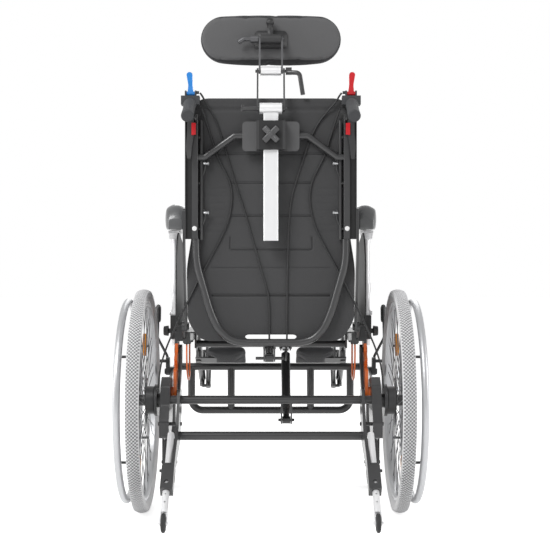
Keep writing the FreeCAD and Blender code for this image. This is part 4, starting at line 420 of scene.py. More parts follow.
NODE_FINISHES: dict[str, Finish | Zoned] = {
    "rim": SATIN_RIM,
    "hub": HUB,
    "handrim": HANDRIM,
    "axles": AXLE,
    "chassis_frame": BLACK_PAINT,
    "caster_fork": BLACK_PAINT,
    "caster_wheel": BLACK_RUBBER,
    "anti_tip_brackets": BLACK_PAINT,
    "anti_tip_tube": ALUMINIUM,
    "anti_tip_wheel": BLACK_RUBBER,
    "chassis_sectors": ORANGE_PAINT,
    "seat_sectors": SEAT_SECTOR,
    "tilt_links": TILT_LINK,
    "seat_frame": BLACK_PAINT,
    "side_guards": BLACK_PLASTIC,
    "armrest_sockets": BLACK_PLASTIC,
    "armrest_post": ALUMINIUM,
    "back_posts": POST,
    "back_tube": BLACK_PAINT,
    "push_handles": SOFT_GRIP,
    "tilt_lever": RED_PLASTIC,
    "recline_lever": BLUE_PLASTIC,
    "brake_lever": BRAKE_LEVER,
    "headrest_mount": HEAD_MOUNT,
    "star_knob": BLACK_PLASTIC,
    "headrest_stem": HEAD_STEM,
    "headrest_lower_link": LOW_HEAD_LINK,
    "headrest_upper_link": LINK_GREY,
    "legrest": BLACK_PAINT,
    "footplate": BLACK_PLASTIC,
    "tilt_spring_cylinder": BLACK_PAINT,
    "tilt_spring_rod": STEEL,
    "recline_spring_cylinder": BLACK_PAINT,
    "recline_spring_rod": STEEL,
    "wheel_lock": BLACK_PAINT,
}


@dataclass
class Piece:
    """A mesh under construction, in metres."""

    name: str
    mesh: bmesh.types.BMesh = field(default_factory=bmesh.new)

    def rod(self, start: Vector, end: Vector, radius: float, radius_end: float | None = None,
            sides: int = 24, round_by: float = 0.4) -> None:
        """Adds a round bar with rounded ends.

        Args:
            start: centre of its first end.
            end: centre of its other end.
            radius: its radius in millimetres.
            radius_end: the radius at the other end, if it tapers.
            sides: faces round it.
            round_by: the rounding of its ends in millimetres.
        """
        along = end - start
        turn = along.to_track_quat("Z", "Y").to_matrix().to_4x4()
        place = Matrix.Translation((start + end) / 2) @ turn
        made = bmesh.ops.create_cone(
            self.mesh, cap_ends=True, segments=sides, radius1=radius * MM,
            radius2=(radius if radius_end is None else radius_end) * MM, depth=along.length, matrix=place,
        )
        caps = {e for v in made["verts"] for f in v.link_faces if len(f.verts) > 4 for e in f.edges}
        self.bevel(caps, round_by)

    def block(self, low: Vector, high: Vector, round_by: float = 0.5, turn: Matrix | None = None,
              segments: int = 2) -> list[bmesh.types.BMVert]:
        """Adds a box with rounded edges.

        Args:
            low: its lowest corner.
            high: its highest corner.
            round_by: the rounding of its edges in millimetres.
            turn: a rotation about its own centre.
            segments: faces across each rounding.

        Returns:
            Its vertices before they are rounded.
        """
        centre = (low + high) / 2
        turned = Matrix.Translation(centre) @ (turn or Matrix.Identity(4))
        place = turned @ Matrix.Diagonal((*(high - low), 1))
        made = bmesh.ops.create_cube(self.mesh, size=1.0, matrix=place)
        self.bevel({e for v in made["verts"] for e in v.link_edges}, round_by, segments)
        return made["verts"]

    def ball(self, centre: Vector, radius: float, squash: Triple = (1, 1, 1), sides: int = 24) -> None:
        """Adds a ball, or an egg where it is squashed."""
        place = Matrix.Translation(centre) @ Matrix.Diagonal((*squash, 1))
        bmesh.ops.create_uvsphere(self.mesh, u_segments=sides, v_segments=sides // 2, radius=radius * MM,
                                  matrix=place)

    def ring(self, profile: Sequence[tuple[float, float]], centre: Vector, axis: Vector, steps: int = 48,
             closed: bool = False) -> None:
        """Turns a profile about an axis.

        Args:
            profile: pairs of distance along the axis and distance from it, in millimetres.
            centre: the axis's origin.
            axis: its direction.
            steps: faces round it.
            closed: whether the profile's last point joins its first.
        """
        turn = axis.to_track_quat("X", "Z").to_matrix().to_4x4()
        place = Matrix.Translation(centre) @ turn
        verts = [self.mesh.verts.new(place @ Vector((a * MM, 0, r * MM))) for a, r in profile]
        pairs = list(zip(verts, verts[1:] + verts[:1])) if closed else list(zip(verts, verts[1:]))
        edges = [self.mesh.edges.new(pair) for pair in pairs]
        bmesh.ops.spin(
            self.mesh, geom=[*verts, *edges], cent=centre, axis=place.to_3x3() @ Vector((1, 0, 0)),
            angle=2 * math.pi, steps=steps, use_merge=True, use_duplicate=False,
        )
        bmesh.ops.remove_doubles(self.mesh, verts=self.mesh.verts, dist=1e-6)
        bmesh.ops.recalc_face_normals(self.mesh, faces=self.mesh.faces)

    def bevel(self, edges: Iterable[bmesh.types.BMEdge], by: float, segments: int = 2) -> None:
        """Rounds edges by a size in millimetres."""
        if by > 0:
            bmesh.ops.bevel(
                self.mesh, geom=list(edges), offset=by * MM, segments=segments, affect="EDGES", profile=0.5,
                material=-1,
            )

    def mirrored(self) -> None:
        """Adds the piece's twin on the other side of the chair."""
        geom = [*self.mesh.verts, *self.mesh.edges, *self.mesh.faces]
        twin = bmesh.ops.duplicate(self.mesh, geom=geom)["geom"]
        verts = [g for g in twin if isinstance(g, bmesh.types.BMVert)]
        faces = [g for g in twin if isinstance(g, bmesh.types.BMFace)]
        bmesh.ops.scale(self.mesh, vec=(-1, 1, 1), verts=verts)
        bmesh.ops.reverse_faces(self.mesh, faces=faces)

    def place(self, finish: Finish | Zoned, body: str, slot: str, smooth: float = 40) -> bpy.types.Object:
        """Makes the piece an object that rides on a body.

        Args:
            finish: its finish.
            body: the body it rides on.
            slot: not used.
            smooth: edges sharper than this angle in degrees stay sharp.

        Returns:
            The object.
        """
        data = bpy.data.meshes.new(self.name)
        self.mesh.to_mesh(data)
        self.mesh.free()
        return dress(new_object(self.name, data, smooth), finish, body)


def new_object(name: str, data: bpy.types.ID, smooth: float = 40) -> bpy.types.Object:
    """Makes an object of a mesh or curve and links it to the scene.

    Args:
        name: the object's name.
        data: its mesh or curve.
        smooth: edges sharper than this angle in degrees stay sharp.

    Returns:
        The object.
    """
    made = bpy.data.objects.new(name, data)
    bpy.context.scene.collection.objects.link(made)
    if isinstance(data, bpy.types.Mesh):
        data.shade_smooth()
        data.set_sharp_from_angle(angle=math.radians(smooth))
    return made


def dress(made: bpy.types.Object, finish: Finish | Zoned, body: str | None) -> bpy.types.Object:
    """Gives an object its finish and body, and reports it."""
    if made.data.materials:
        made.data.materials[0] = finish.material()
    else:
        made.data.materials.append(finish.material())
    if body:
        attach(made, body)
    log.info("%s: %s", made.name, finish.name)
    return made


def settled(source: bpy.types.Object) -> bpy.types.Mesh:
    """The mesh of an object with its modifiers applied."""
    graph = bpy.context.evaluated_depsgraph_get()
    return bpy.data.meshes.new_from_object(source.evaluated_get(graph))


def pressed(data: bpy.types.Mesh, sewn: Callable[[Vector, Vector], Vector]) -> None:
    """Moves every point of a mesh by a function of its place and its normal."""
    starts = [(vert.co.copy(), vert.normal.copy()) for vert in data.vertices]
    for vert, (point, normal) in zip(data.vertices, starts):
        vert.co = sewn(point, normal)


@dataclass
class Upholstery:
    """A stuffed piece made from a CAD node: remeshed, blown up as cloth, then sewn.

    Fields:
        node: the CAD node it replaces.
        voxel: size of the remeshed faces in millimetres.
        pressure: how hard it is blown up.
        shrink: how far its start lies inside the node, in millimetres.
        swell: how far a point may move, in millimetres.
        flat: the axis and sign of the side that rests on something, such as (2, -1) for the underside.
        steps: frames of the cloth simulation.
        least: the smallest share of its size that the start shape keeps.
        merge: distance in metres within which doubled points of the node are one.
    """

    node: str
    voxel: float = 5.0
    pressure: float = 4.0
    shrink: float = 5.0
    swell: float = 10.0
    flat: tuple[int, int] | None = None
    steps: int = 20
    least: float = 0.4
    merge: float = 1e-5

    def islands(self, whole: bmesh.types.BMesh) -> list[set[bmesh.types.BMVert]]:
        """The vertices of each solid of a mesh."""
        found, left = [], set(whole.verts)
        while left:
            front = [left.pop()]
            island = set()
            while front:
                vert = front.pop()
                island.add(vert)
                near = {e.other_vert(vert) for e in vert.link_edges} & left
                left -= near
                front.extend(near)
            found.append(island)
        return found

    def solid(self, soft: bool) -> bpy.types.Mesh:
        """The stuffed solid of the node, which is its widest, or else the hard ones that carry it.

        Args:
            soft: whether the stuffed one is wanted.

        Returns:
            A mesh of its own.
        """
        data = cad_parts[self.node].data.copy()
        whole = bmesh.new()
        whole.from_mesh(data)
        bmesh.ops.remove_doubles(whole, verts=whole.verts, dist=self.merge)
        widest = max(self.islands(whole), key=lambda one: max(v.co.x for v in one) - min(v.co.x for v in one))
        gone = [v for v in whole.verts if (v in widest) != soft]
        bmesh.ops.delete(whole, geom=gone, context="VERTS")
        whole.to_mesh(data)
        whole.free()
        return data

    def carrier(self, body: str) -> None:
        """Keeps the hard solids of the node, such as a bracket, as they are."""
        data = self.solid(False)
        if data.vertices:
            piece = dress(new_object(self.node + "_carrier", data), BLACK_PLASTIC, body)
            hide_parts(self.node)

    def copy(self) -> bpy.types.Object:
        """A merged copy of the stuffed solid, remeshed."""
        data = self.solid(True)
        made = bpy.data.objects.new(self.node + "_work", data)
        bpy.context.scene.collection.objects.link(made)
        remesh = made.modifiers.new("Remesh", "REMESH")
        remesh.mode = "VOXEL"
        remesh.voxel_size = self.voxel * MM
        even = settled(made)
        made.modifiers.clear()
        made.data = even
        return made

    def bounds(self, data: bpy.types.Mesh) -> tuple[Vector, Vector]:
        """The corners of a mesh."""
        spans = [[v.co[axis] for v in data.vertices] for axis in range(3)]
        return Vector(min(span) for span in spans), Vector(max(span) for span in spans)

    def shrunk(self, made: bpy.types.Object) -> None:
        """Draws the start shape in towards its middle on the sides that swell."""
        low, high = self.bounds(made.data)
        centre, size = (low + high) / 2, high - low
        factors = [max(self.least, 1 - 2 * self.shrink * MM / s) for s in size]
        for vert in made.data.vertices:
            for axis in range(3):
                anchor = centre[axis]
                if self.flat and axis == self.flat[0]:
                    anchor = high[axis] if self.flat[1] > 0 else low[axis]
                vert.co[axis] = anchor + (vert.co[axis] - anchor) * factors[axis]

    def blown(self, made: bpy.types.Object) -> None:
        """Blows the piece up with the cloth simulation, and keeps each point near its start."""
        start = [v.co.copy() for v in made.data.vertices]
        low, high = self.bounds(made.data)
        cloth = made.modifiers.new("Cloth", "CLOTH")
        cloth.settings.quality = 4
        cloth.settings.use_pressure = True
        cloth.settings.uniform_pressure_force = self.pressure
        cloth.settings.effector_weights.gravity = 0
        cloth.collision_settings.use_collision = False
        cloth.point_cache.frame_end = self.steps
        scene = bpy.context.scene
        for step in range(1, self.steps + 1):
            scene.frame_set(step)
        swollen = settled(made)
        scene.frame_set(1)
        made.modifiers.clear()
        made.data = swollen
        for vert, home in zip(swollen.vertices, start):
            moved = vert.co - home
            if moved.length > self.swell * MM:
                moved.length = self.swell * MM
            vert.co = home + moved
            if self.flat:
                axis, sign = self.flat
                bound = high[axis] if sign > 0 else low[axis]
                vert.co[axis] = min(vert.co[axis], bound) if sign > 0 else max(vert.co[axis], bound)

    def build(self, finish: Finish | Zoned, body: str, slot: str, fill: float,
              sewn: Callable[[Vector, Vector], Vector] | None = None) -> bpy.types.Object:
        """Makes the piece.

        Args:
            finish: its cloth.
            body: the body it rides on.
            slot: not used.
            fill: how full it is, from 0 to 1; not used.
            sewn: moves a point, given with its normal, for seams and channels.

        Returns:
            The finished object, which replaces the node.
        """
        made = self.copy()
        self.shrunk(made)
        self.blown(made)
        finer = made.modifiers.new("Subdivision", "SUBSURF")
        finer.levels = finer.render_levels = 1
        data = settled(made)
        bpy.data.objects.remove(made)
        if sewn:
            pressed(data, sewn)
        piece = dress(new_object(self.node + "_cover", data, 180), finish, body)
        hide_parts(self.node)
        self.carrier(body)
        return piece


def groove(distance: float, width: float, depth: float) -> float:
    """Depth of a rounded groove at a distance from its line, all in one unit."""
    if abs(distance) >= width:
        return 0.0
    return depth * (0.5 + 0.5 * math.cos(math.pi * distance / width))


@dataclass
class Studio:
    """Floor, lights and camera."""

    focal_pixels: float = 1190
    image_width: float = 550
    sensor: float = 36
    camera_back: float = 3225
    camera_height: float = 639
    centre_offset: float = 4.15
    floor_shade: int = 238
    floor_glow: float = 0.67
    floor_drop: float = 0.5
    base_glow: float = 0.4
    seen_glow: float = 0.6
    mirrored_glow: float = 0.3
    aim: Triple = (0, 0, 0.65)
    lamps: tuple[tuple[str, Triple, float, float], ...] = (
        ("key", (-1.6, -2.6, 3.4), 1.6, 85),
        ("left", (-3.4, -1.0, 1.4), 1.6, 40),
        ("right", (3.4, -1.0, 1.4), 1.6, 40),
        ("front", (0.5, 3.2, 2.6), 2.6, 45),
    )

    def camera(self) -> None:
        """The camera behind the chair, level, at the photograph's distance."""
        data = bpy.data.cameras.new("camera")
        data.sensor_width = self.sensor
        data.lens = self.focal_pixels / self.image_width * self.sensor
        data.shift_x = self.centre_offset / self.image_width
        data.clip_end = 100
        made = bpy.data.objects.new("camera", data)
        made.location = at(0, -self.camera_back, self.camera_height)
        made.rotation_euler = (math.pi / 2, 0, 0)
        bpy.context.scene.collection.objects.link(made)
        bpy.context.scene.camera = made

    def floor(self) -> None:
        """A wide pale floor, a little brighter where it is seen than where it lights the chair."""
        piece = bmesh.new()
        bmesh.ops.create_grid(piece, x_segments=1, y_segments=1, size=30)
        data = bpy.data.meshes.new("floor")
        piece.to_mesh(data)
        piece.free()
        made = new_object("floor", data)
        made.location.z = -self.floor_drop * MM
        material = bpy.data.materials.new("pale_floor")
        tree = Tree(material)
        rays = tree.add("ShaderNodeLightPath")
        seen = Value(tree, rays.outputs["Is Camera Ray"]) + Value(tree, rays.outputs["Is Glossy Ray"])
        matt = tree.add("ShaderNodeBsdfDiffuse", None, rgba((self.floor_shade,) * 3))
        glow = tree.add("ShaderNodeEmission", None, (1, 1, 1, 1), seen * self.floor_glow)
        both = tree.add("ShaderNodeAddShader", None, matt.outputs[0], glow.outputs[0])
        tree.add("ShaderNodeOutputMaterial", None, both.outputs[0])
        made.data.materials.append(material)

    def world(self) -> None:
        """White surroundings that are seen and mirrored, and softer light from them."""
        world = bpy.data.worlds.new("studio")
        bpy.context.scene.world = world
        tree = Tree(world)
        rays = tree.add("ShaderNodeLightPath")
        seen = Value(tree, rays.outputs["Is Camera Ray"]) + Value(tree, rays.outputs["Is Transmission Ray"])
        mirrored = Value(tree, rays.outputs["Is Glossy Ray"])
        strength = seen * self.seen_glow + mirrored * self.mirrored_glow + self.base_glow
        glow = tree.add("ShaderNodeBackground", None, (1, 1, 1, 1), strength)
        tree.add("ShaderNodeOutputWorld", None, glow.outputs[0])

    def lamp(self, name: str, place: Triple, size: float, power: float) -> None:
        """A soft square lamp that looks at the middle of the chair.

        Args:
            name: the lamp's name.
            place: where it stands, in metres.
            size: its side in metres.
            power: its power in watts.
        """
        data = bpy.data.lights.new(name, "AREA")
        data.shape = "SQUARE"
        data.size = size
        data.energy = power
        made = bpy.data.objects.new(name, data)
        made.location = place
        sight = Vector(self.aim) - made.location
        made.rotation_euler = sight.to_track_quat("-Z", "Y").to_euler()
        bpy.context.scene.collection.objects.link(made)

    def build(self) -> None:
        """Sets up the studio."""
        bpy.context.scene.view_settings.view_transform = "Standard"
        self.camera()
        self.floor()
        self.world()
        for lamp in self.lamps:
            self.lamp(*lamp)


@dataclass
class RearWheel:
    """Tyre tread, reflectors and valve of one rear wheel."""

    side: str
    sign: int
    centre_x: float = 344
    centre_z: float = 300
    radius: float = 300
    bead: float = 268
    half_width: float = 17.5
    tread_half: float = 15.5
    columns: int = 7
    pitch_count: int = 400
    stud: float = 1.6
    stud_edge: float = 0.3
    crown: float = 4.6
    tread_inner: float = 292.5
    reflector_x: float = 349
    reflector_size: Triple = (11, 28, 58)
    valve_degrees: float = -33

    def section(self) -> list[tuple[float, float]]:
        """The tyre's outline from bead to bead, as distance along the axle and radius."""
        tread = []
        for step in range(self.columns + 1):
            across = (2 * step / self.columns - 1) * self.tread_half
            drop = (across / self.tread_half) ** 2 * self.crown
            tread.append((across, self.radius - self.stud - drop))
        flank = [(-self.half_width, 288), (-self.half_width + 0.2, 281), (-14, 273), (-11.5, self.bead)]
        other = [(-x, r) for x, r in flank]
        return [*reversed(flank), *tread, *other]

    def tyre(self) -> bpy.types.Object:
        """The tyre with its staggered studs."""
        piece = Piece(f"tyre_{self.side}_tread")
        centre = at(self.sign * self.centre_x, 0, self.centre_z)
        piece.ring(self.section(), centre, Vector((1, 0, 0)), self.pitch_count, closed=True)
        mesh = piece.mesh
        studs = []
        for face in mesh.faces:
            middle = face.calc_center_median() - centre
            radius = math.hypot(middle.y, middle.z)
            across = middle.x / MM
            if radius > self.tread_inner * MM and abs(across) < self.tread_half:
                column = int((across + self.tread_half) / (2 * self.tread_half) * self.columns)
                row = int((math.atan2(middle.z, middle.y) % (2 * math.pi)) / (2 * math.pi) * self.pitch_count)
                if (row + column) % 2 == 0:
                    studs.append(face)
        for face in studs:
            face.material_index = 1
        for depth in (0.0, self.stud * MM):
            bmesh.ops.inset_individual(mesh, faces=studs, thickness=self.stud_edge * MM, depth=depth)
        for face in mesh.faces:
            middle = face.calc_center_median() - centre
            if math.hypot(middle.y, middle.z) < self.tread_inner * MM:
                face.material_index = 1
        # Slot 0, the darker grey, stays on the tread between the studs as painted shade in the valleys; studs
        # and flanks take the pale rubber.
        made = piece.place(TREAD_VALLEY_SHADE, f"wheel_{self.side}", "tyre", 60)
        made.data.materials.append(GREY_RUBBER.material())
        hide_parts(f"tyre_{self.side}")
        return made

    def reflector(self, y: float, z: float, name: str) -> bpy.types.Object:
        """An orange reflector clipped between the spokes, its long side along the radius.

        Args:
            y: its middle, from the axle, in millimetres.
            z: its height in millimetres.
            name: the object's name.

        Returns:
            The object.
        """
        piece = Piece(name)
        middle = at(self.sign * self.reflector_x, y, z)
        turn = Matrix.Rotation(math.atan2(z - self.centre_z, y) - math.pi / 2, 4, "X")
        size = Vector(self.reflector_size) * MM / 2
        piece.block(middle - size, middle + size, 3.5, turn, 4)
        return piece.place(ORANGE_LENS, f"wheel_{self.side}", "tyre")

    def valve(self) -> bpy.types.Object:
        """The valve stem with its cap."""
        piece = Piece(f"valve_{self.side}")
        angle = math.radians(self.valve_degrees)
        centre = at(self.sign * self.centre_x, 0, self.centre_z)
        away = Vector((0, -math.cos(angle), math.sin(angle)))
        piece.rod(centre + away * 0.226, centre + away * 0.2555, 2.6, 2.6, 16)
        piece.rod(centre + away * 0.218, centre + away * 0.232, 3.6, 3.9, 12)
        return piece.place(BLACK_PLASTIC, f"wheel_{self.side}", "tyre")

    def build(self) -> None:
        """Builds the pieces of this wheel."""
        self.tyre()
        self.reflector(71, 446, f"reflector_{self.side}_upper")
        self.reflector(-84, 131, f"reflector_{self.side}_lower")
        self.valve()


@dataclass
class Cable:
    """One sheathed cable along a given route of control points."""

    name: str
    points: Sequence[Triple]
    body: str
    diameter: float = 5.0
    tube_sides: int = 12

    def curve(self, bevel: float) -> bpy.types.Curve:
        """The route as one NURBS spline.

        Args:
            bevel: radius of the tube round it in metres, or 0 for a bare line.

        Returns:
            The curve.
        """
        data = bpy.data.curves.new(self.name, "CURVE")
        data.dimensions = "3D"
        data.bevel_depth = bevel
        data.bevel_resolution = 3
        data.use_fill_caps = True
        data.resolution_u = 6
        spline = data.splines.new("NURBS")
        spline.points.add(len(self.points) - 1)
        for point, (x, y, z) in zip(spline.points, self.points):
            point.co = (*at(x, y, z), 1.0)
        spline.order_u = 3
        spline.use_endpoint_u = True
        return data

    def line(self) -> list[Vector]:
        """The points that the spline goes through."""
        bare = bpy.data.objects.new(self.name + "_line", self.curve(0))
        bpy.context.scene.collection.objects.link(bare)
        found = [v.co.copy() for v in settled(bare).vertices]
        bpy.data.objects.remove(bare)
        return found

    def length(self) -> float:
        """Length of the cable in metres."""
        points = self.line()
        return sum((b - a).length for a, b in zip(points, points[1:]))

    def declared(self, made: bpy.types.Object, path: list[Vector] | None = None) -> bpy.types.Object:
        """Returns the object; the cable's start, length and diameter are worked out and not kept."""
        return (made, at(*self.points[0]), self.length(), self.diameter * MM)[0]

    def build(self) -> bpy.types.Object:
        """The cable as a curve that rides on its body."""
        made = new_object(self.name, self.curve(self.diameter * MM / 2))
        dress(made, CABLE_SKIN, self.body)
        return self.declared(made)

    def bent(self, start: Vector, end: Vector) -> bpy.types.Object:
        """The cable as a fixed mesh that rides on no body.

        Args:
            start: not used.
            end: not used.

        Returns:
            The object.
        """
        tube = bpy.data.objects.new(self.name + "_tube", self.curve(self.diameter * MM / 2))
        bpy.context.scene.collection.objects.link(tube)
        made = new_object(self.name, settled(tube), 50)
        bpy.data.objects.remove(tube)
        dress(made, CABLE_SKIN, None)
        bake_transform(made)
        return self.declared(made, self.line())


@dataclass
class Cables:
    """All sheathed cables of the chair."""

    back: float = -97.2

    def brake_points(self, side: int) -> list[Triple]:
        """Upper route of a drum brake cable, behind the back cover."""
        b = self.back
        return [
            (side * 181, -112, 1074),
            (side * 174, -106, 1054),
            (side * 164, b - 2, 1024),
            (side * 152, b, 986),
            (side * 139, b, 946),
            (side * 122, b, 916),
            (side * 106, b, 882),
            (side * 101, b, 842),
            (side * 107, b, 796),
            (side * 123, b, 750),
            (side * 148, b, 704),
        ]

    def hub_points(self, side: int) -> list[Triple]:
        """Lower route of a drum brake cable, out to the hub."""
        b = self.back
        return [
            (side * 148.3, b, 703.5),
            (side * 171, b, 662),
            (side * 196, b, 614),
            (side * 220, b, 566),
            (side * 243, b + 14, 522),
            (side * 263, b + 30, 480),
            (side * 281, b + 45, 440),
            (side * 294, b + 58, 400),
            (side * 301, b + 68, 364),
            (side * 302.5, b + 73, 335),
        ]

    def tilt_points(self) -> list[Triple]:
        """Route of the tilt cable down the back cover."""
        b = self.back
        return [
            (185.7, -107, 1116),
            (180, -106, 1110),
            (172, -103, 1094),
            (157, -102, 1078),
            (134, b, 1051),
            (115, b, 1022),
            (99, b, 984),
            (83, b, 938),
            (66, b, 886),
            (53, b, 836),
            (47.5, b, 780),
            (45.5, b, 722),
            (44, b, 664),
            (42.6, b, 608),
            (42.5, b, 560),
            (42, b, 520),
        ]

    def tilt_end_points(self) -> list[Triple]:
        """Route of the tilt cable under the seat."""
        b = self.back
        return [
            (42, b, 519.5),
            (42.4, b, 490),
            (42, b, 458),
            (41, -84, 430),
            (40, -50, 412),
            (40, 0, 408),
            (41, 50, 418),
            (42, 100, 434),
            (42, 138, 440),
            (42, 162, 437),
        ]

    def recline_points(self) -> list[Triple]:
        """Route of the recline cable down the back cover."""
        b = self.back
        return [
            (-185.7, -107, 1116),
            (-180, -106, 1110),
            (-170, -103, 1088),
            (-149, -102, 1056),
            (-133, b, 1014),
            (-120, b, 970),
            (-106, b, 926),
            (-92, b, 876),
            (-73, b, 820),
            (-57, b, 766),
            (-42, b, 712),
            (-26, b, 654),
            (-9, b, 598),
            (-4, b, 558),
            (-4.2, b, 518),
            (-4, b, 476),
            (-4.2, b, 435),
        ]

    def build(self) -> None:
        """Builds the cables; the low ones are fixed meshes on no body."""
        upper = [
            Cable("tilt_cable", self.tilt_points(), "backrest"),
            Cable("recline_cable", self.recline_points(), "backrest"),
        ]
        for word, side in SIDES:
            upper.append(Cable(f"brake_cable_{word}", self.brake_points(side), "backrest"))
        made = [cable.build() for cable in upper]
        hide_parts("back_cables")
        end = Cable("tilt_cable_low", self.tilt_end_points(), "backrest")
        low = end.bent(at(42, self.back, 500), at(40, -30, 410))
        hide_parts("tilt_cable_end")
        for word, side in SIDES:
            points = self.hub_points(side)
            parts = [
                (points[:4], "backrest", "seat", points[1], points[3]),
                (points[3:8], "seat", "tilt_links", points[4], points[7]),
                (points[7:], "tilt_links", "chassis", points[7], points[9]),
            ]
            for number, (run, near, far, start, stop) in enumerate(parts, 1):
                cable = Cable(f"hub_cable_{word}_{number}", run, near)
                piece = cable.bent(at(*start), at(*stop))
                if number == 1 and side == 1:
                    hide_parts("hub_cables")


@dataclass
class BackCover:
    """The sewn cover of the back shell and the cushion in front of it."""

    rear: float = -94
    seam_full: float = 957
    pocket_half: float = 108
    pleats: tuple[float, ...] = (881, 794)
    pocket_foot: float = 707
    pocket_side_top: float = 742
    low_seam: float = 656
    zip_line: float = 585
    zip_half: float = 158
    roll_foot: float = 1074
    wing_low: float = 484
    wing_high: float = 760
    wing_share: float = 0.068
    rib_inner: float = 120
    rib_outer: float = 173
    rib_pitch: float = 19
    channel_heights: tuple[float, ...] = (588, 690, 792, 894, 996)
    channel_width: float = 26
    channel_depth: float = 11
    wing_rise: float = 50
    wing_fall: float = 120
    stitch_pitch: float = 5.0
    stitch_length: float = 3.2

    def relief(self, x: float, z: float) -> float:
        """How deep the cover lies below its fullest plane, in millimetres, at a place on it."""
        deep = groove(z - self.seam_full, 5, 2.2)
        deep = max(deep, groove(z - self.roll_foot, 9, 2.6))
        deep = max(deep, groove(z - self.zip_line, 6, 4.2) if abs(x) < self.zip_half else 0)
        deep = max(deep, groove(z - self.low_seam, 4, 1.0) if abs(x) < self.zip_half else 0)
        if abs(x) < self.pocket_half:
            for height in self.pleats:
                step = height - z
                deep = max(deep, groove(step, 3.5, 2.4), 1.6 * (1 - step / 22) if 0 < step < 22 else 0)
            deep = max(deep, groove(z - self.pocket_foot, 4, 2.6))
        if self.pocket_foot < z < self.pocket_side_top:
            deep = max(deep, groove(abs(x) - self.pocket_half, 4, 2.4))
        if self.rib_inner < abs(x) < self.rib_outer and self.pocket_side_top < z < self.pleats[0]:
            phase = (z - self.pocket_side_top) / self.rib_pitch % 1
            deep = max(deep, groove((phase - 0.5) * self.rib_pitch, 4, 0.8))
        return deep

    def sewn_cover(self, point: Vector, normal: Vector) -> Vector:
        """Presses the seams into the rear face of the cover."""
        depth = self.rear * MM + AXLE_Y
        height = point.z / MM
        rise = min(max((height - self.wing_low) / self.wing_rise, 0), 1)
        rise *= min(max((self.wing_high - height) / self.wing_fall, 0), 1)
        point.x *= 1 + self.wing_share * rise * rise * (3 - 2 * rise)
        if normal.y < -0.3 and point.y < depth + 0.004:
            x, z = point.x / MM, point.z / MM
            point.y = max(point.y, depth) + self.relief(x, z) * MM
        return point

    def channelled(self, point: Vector, normal: Vector) -> Vector:
        """Presses the sewn channels into the front of the cushion."""
        if normal.y > 0.1:
            z = point.z / MM
            for height in self.channel_heights:
                point.y -= groove(z - height, self.channel_width, self.channel_depth) * MM * normal.y
        return point

    def shade_and_tape_rods(self) -> None:
        """Dark rods in the zip line, the pleats, the pocket and the top seam: along the zip line a zip tape
        with painted shade, elsewhere painted shade in the creases.
        """
        piece = Piece("back_cover_seam_shade_and_tapes")
        rows = [(self.zip_line, self.zip_half - 3, 2.6), (self.pocket_foot, self.pocket_half - 2, 1.7)]
        rows += [(height, self.pocket_half - 2, 1.5) for height in self.pleats]
        rows.append((self.seam_full, 206, 1.0))
        for height, half, radius in rows:
            y = self.rear + self.relief(0, height)
            piece.rod(at(-half, y, height), at(half, y, height), radius, sides=12)
        for side in (-1, 1):
            x = side * self.pocket_half
            y = self.rear + 2.2
            piece.rod(at(x, y, self.pocket_foot), at(x, y, self.pocket_side_top - 3), 1.4, sides=12)
        piece.place(SHADE_AND_TAPE_BLACK, "backrest", "shell")

    def stitches(self) -> None:
        """Rows of short threads along the seams."""
        piece = Piece("back_cover_stitches")
        rows = [(self.seam_full + 4.5, 196), (self.low_seam + 3.5, self.zip_half)]
        pocket_rows = (self.pocket_foot - 4, *(height + 4 for height in self.pleats))
        rows += [(height, self.pocket_half - 2) for height in pocket_rows]
        for height, half in rows:
            for step in range(int(2 * half / self.stitch_pitch)):
                x = -half + step * self.stitch_pitch
                y = self.rear + self.relief(x, height) - 0.15
                piece.rod(at(x, y, height), at(x + self.stitch_length, y, height), 0.4, sides=6, round_by=0)
        piece.place(THREAD, "backrest", "shell")

    def build(self) -> None:
        """Builds the cover, the cushion and the threads."""
        work = Upholstery("back_shell", voxel=3.0).copy()
        data = work.data
        bpy.data.objects.remove(work)
        pressed(data, self.sewn_cover)
        made = dress(new_object("back_cover", data, 180), COVER_CLOTH, "backrest")
        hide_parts("back_shell")
        self.shade_and_tape_rods()
        self.stitches()
        cushion = Upholstery("back_cushion", 6.0, 4.0, 8.0, 26.0, (1, -1))
        cushion.build(CUSHION_CLOTH, "backrest", "cushion", 0.8, self.channelled)


@dataclass
class Pads:
    """Seat cushion, headrest, armrest and calf pads."""

    seat_seams: tuple[float, ...] = (112, 205, 298)
    seam_width: float = 24
    seam_depth: float = 8
    head_back: float = -36

    def seat_sewn(self, point: Vector, normal: Vector) -> Vector:
        """Presses the cross channels into the seat cushion."""
        if normal.z > 0.1:
            y = (point.y - AXLE_Y) / MM
            for seam in self.seat_seams:
                point.z -= groove(y - seam, self.seam_width, self.seam_depth) * MM * normal.z
        return point

    def build(self) -> None:
        """Builds the pads."""
        seat = Upholstery("seat_cushion", 6.0, 4.0, 7.0, 24.0, (2, -1))
        seat.build(CUSHION_CLOTH, "seat", "cushion", 0.8, self.seat_sewn)
        back = Zone(y=(-ANYWHERE, self.head_back))
        head_finish = Zoned("headrest_covers", EDGE_CLOTH, ((HEAD_CLOTH, back),))
        head = Upholstery("headrest_pad", 4.0, 2.0, 1.5, 6.0, (1, -1))
        head.build(head_finish, "headrest_pad", "headrest", 0.8)
        for word in ("left", "right"):
            arm = Upholstery(f"armrest_pad_{word}", 4.0, 3.0, 2.0, 6.0, (2, -1))
            arm.build(PAD_SKIN, f"armrest_{word}", "pad", 0.9)
            calf = Upholstery(f"calf_pad_{word}", 4.0, 4.0, 4.0, 12.0)
            calf.build(CUSHION_CLOTH, f"legrest_{word}", "pad", 0.8)


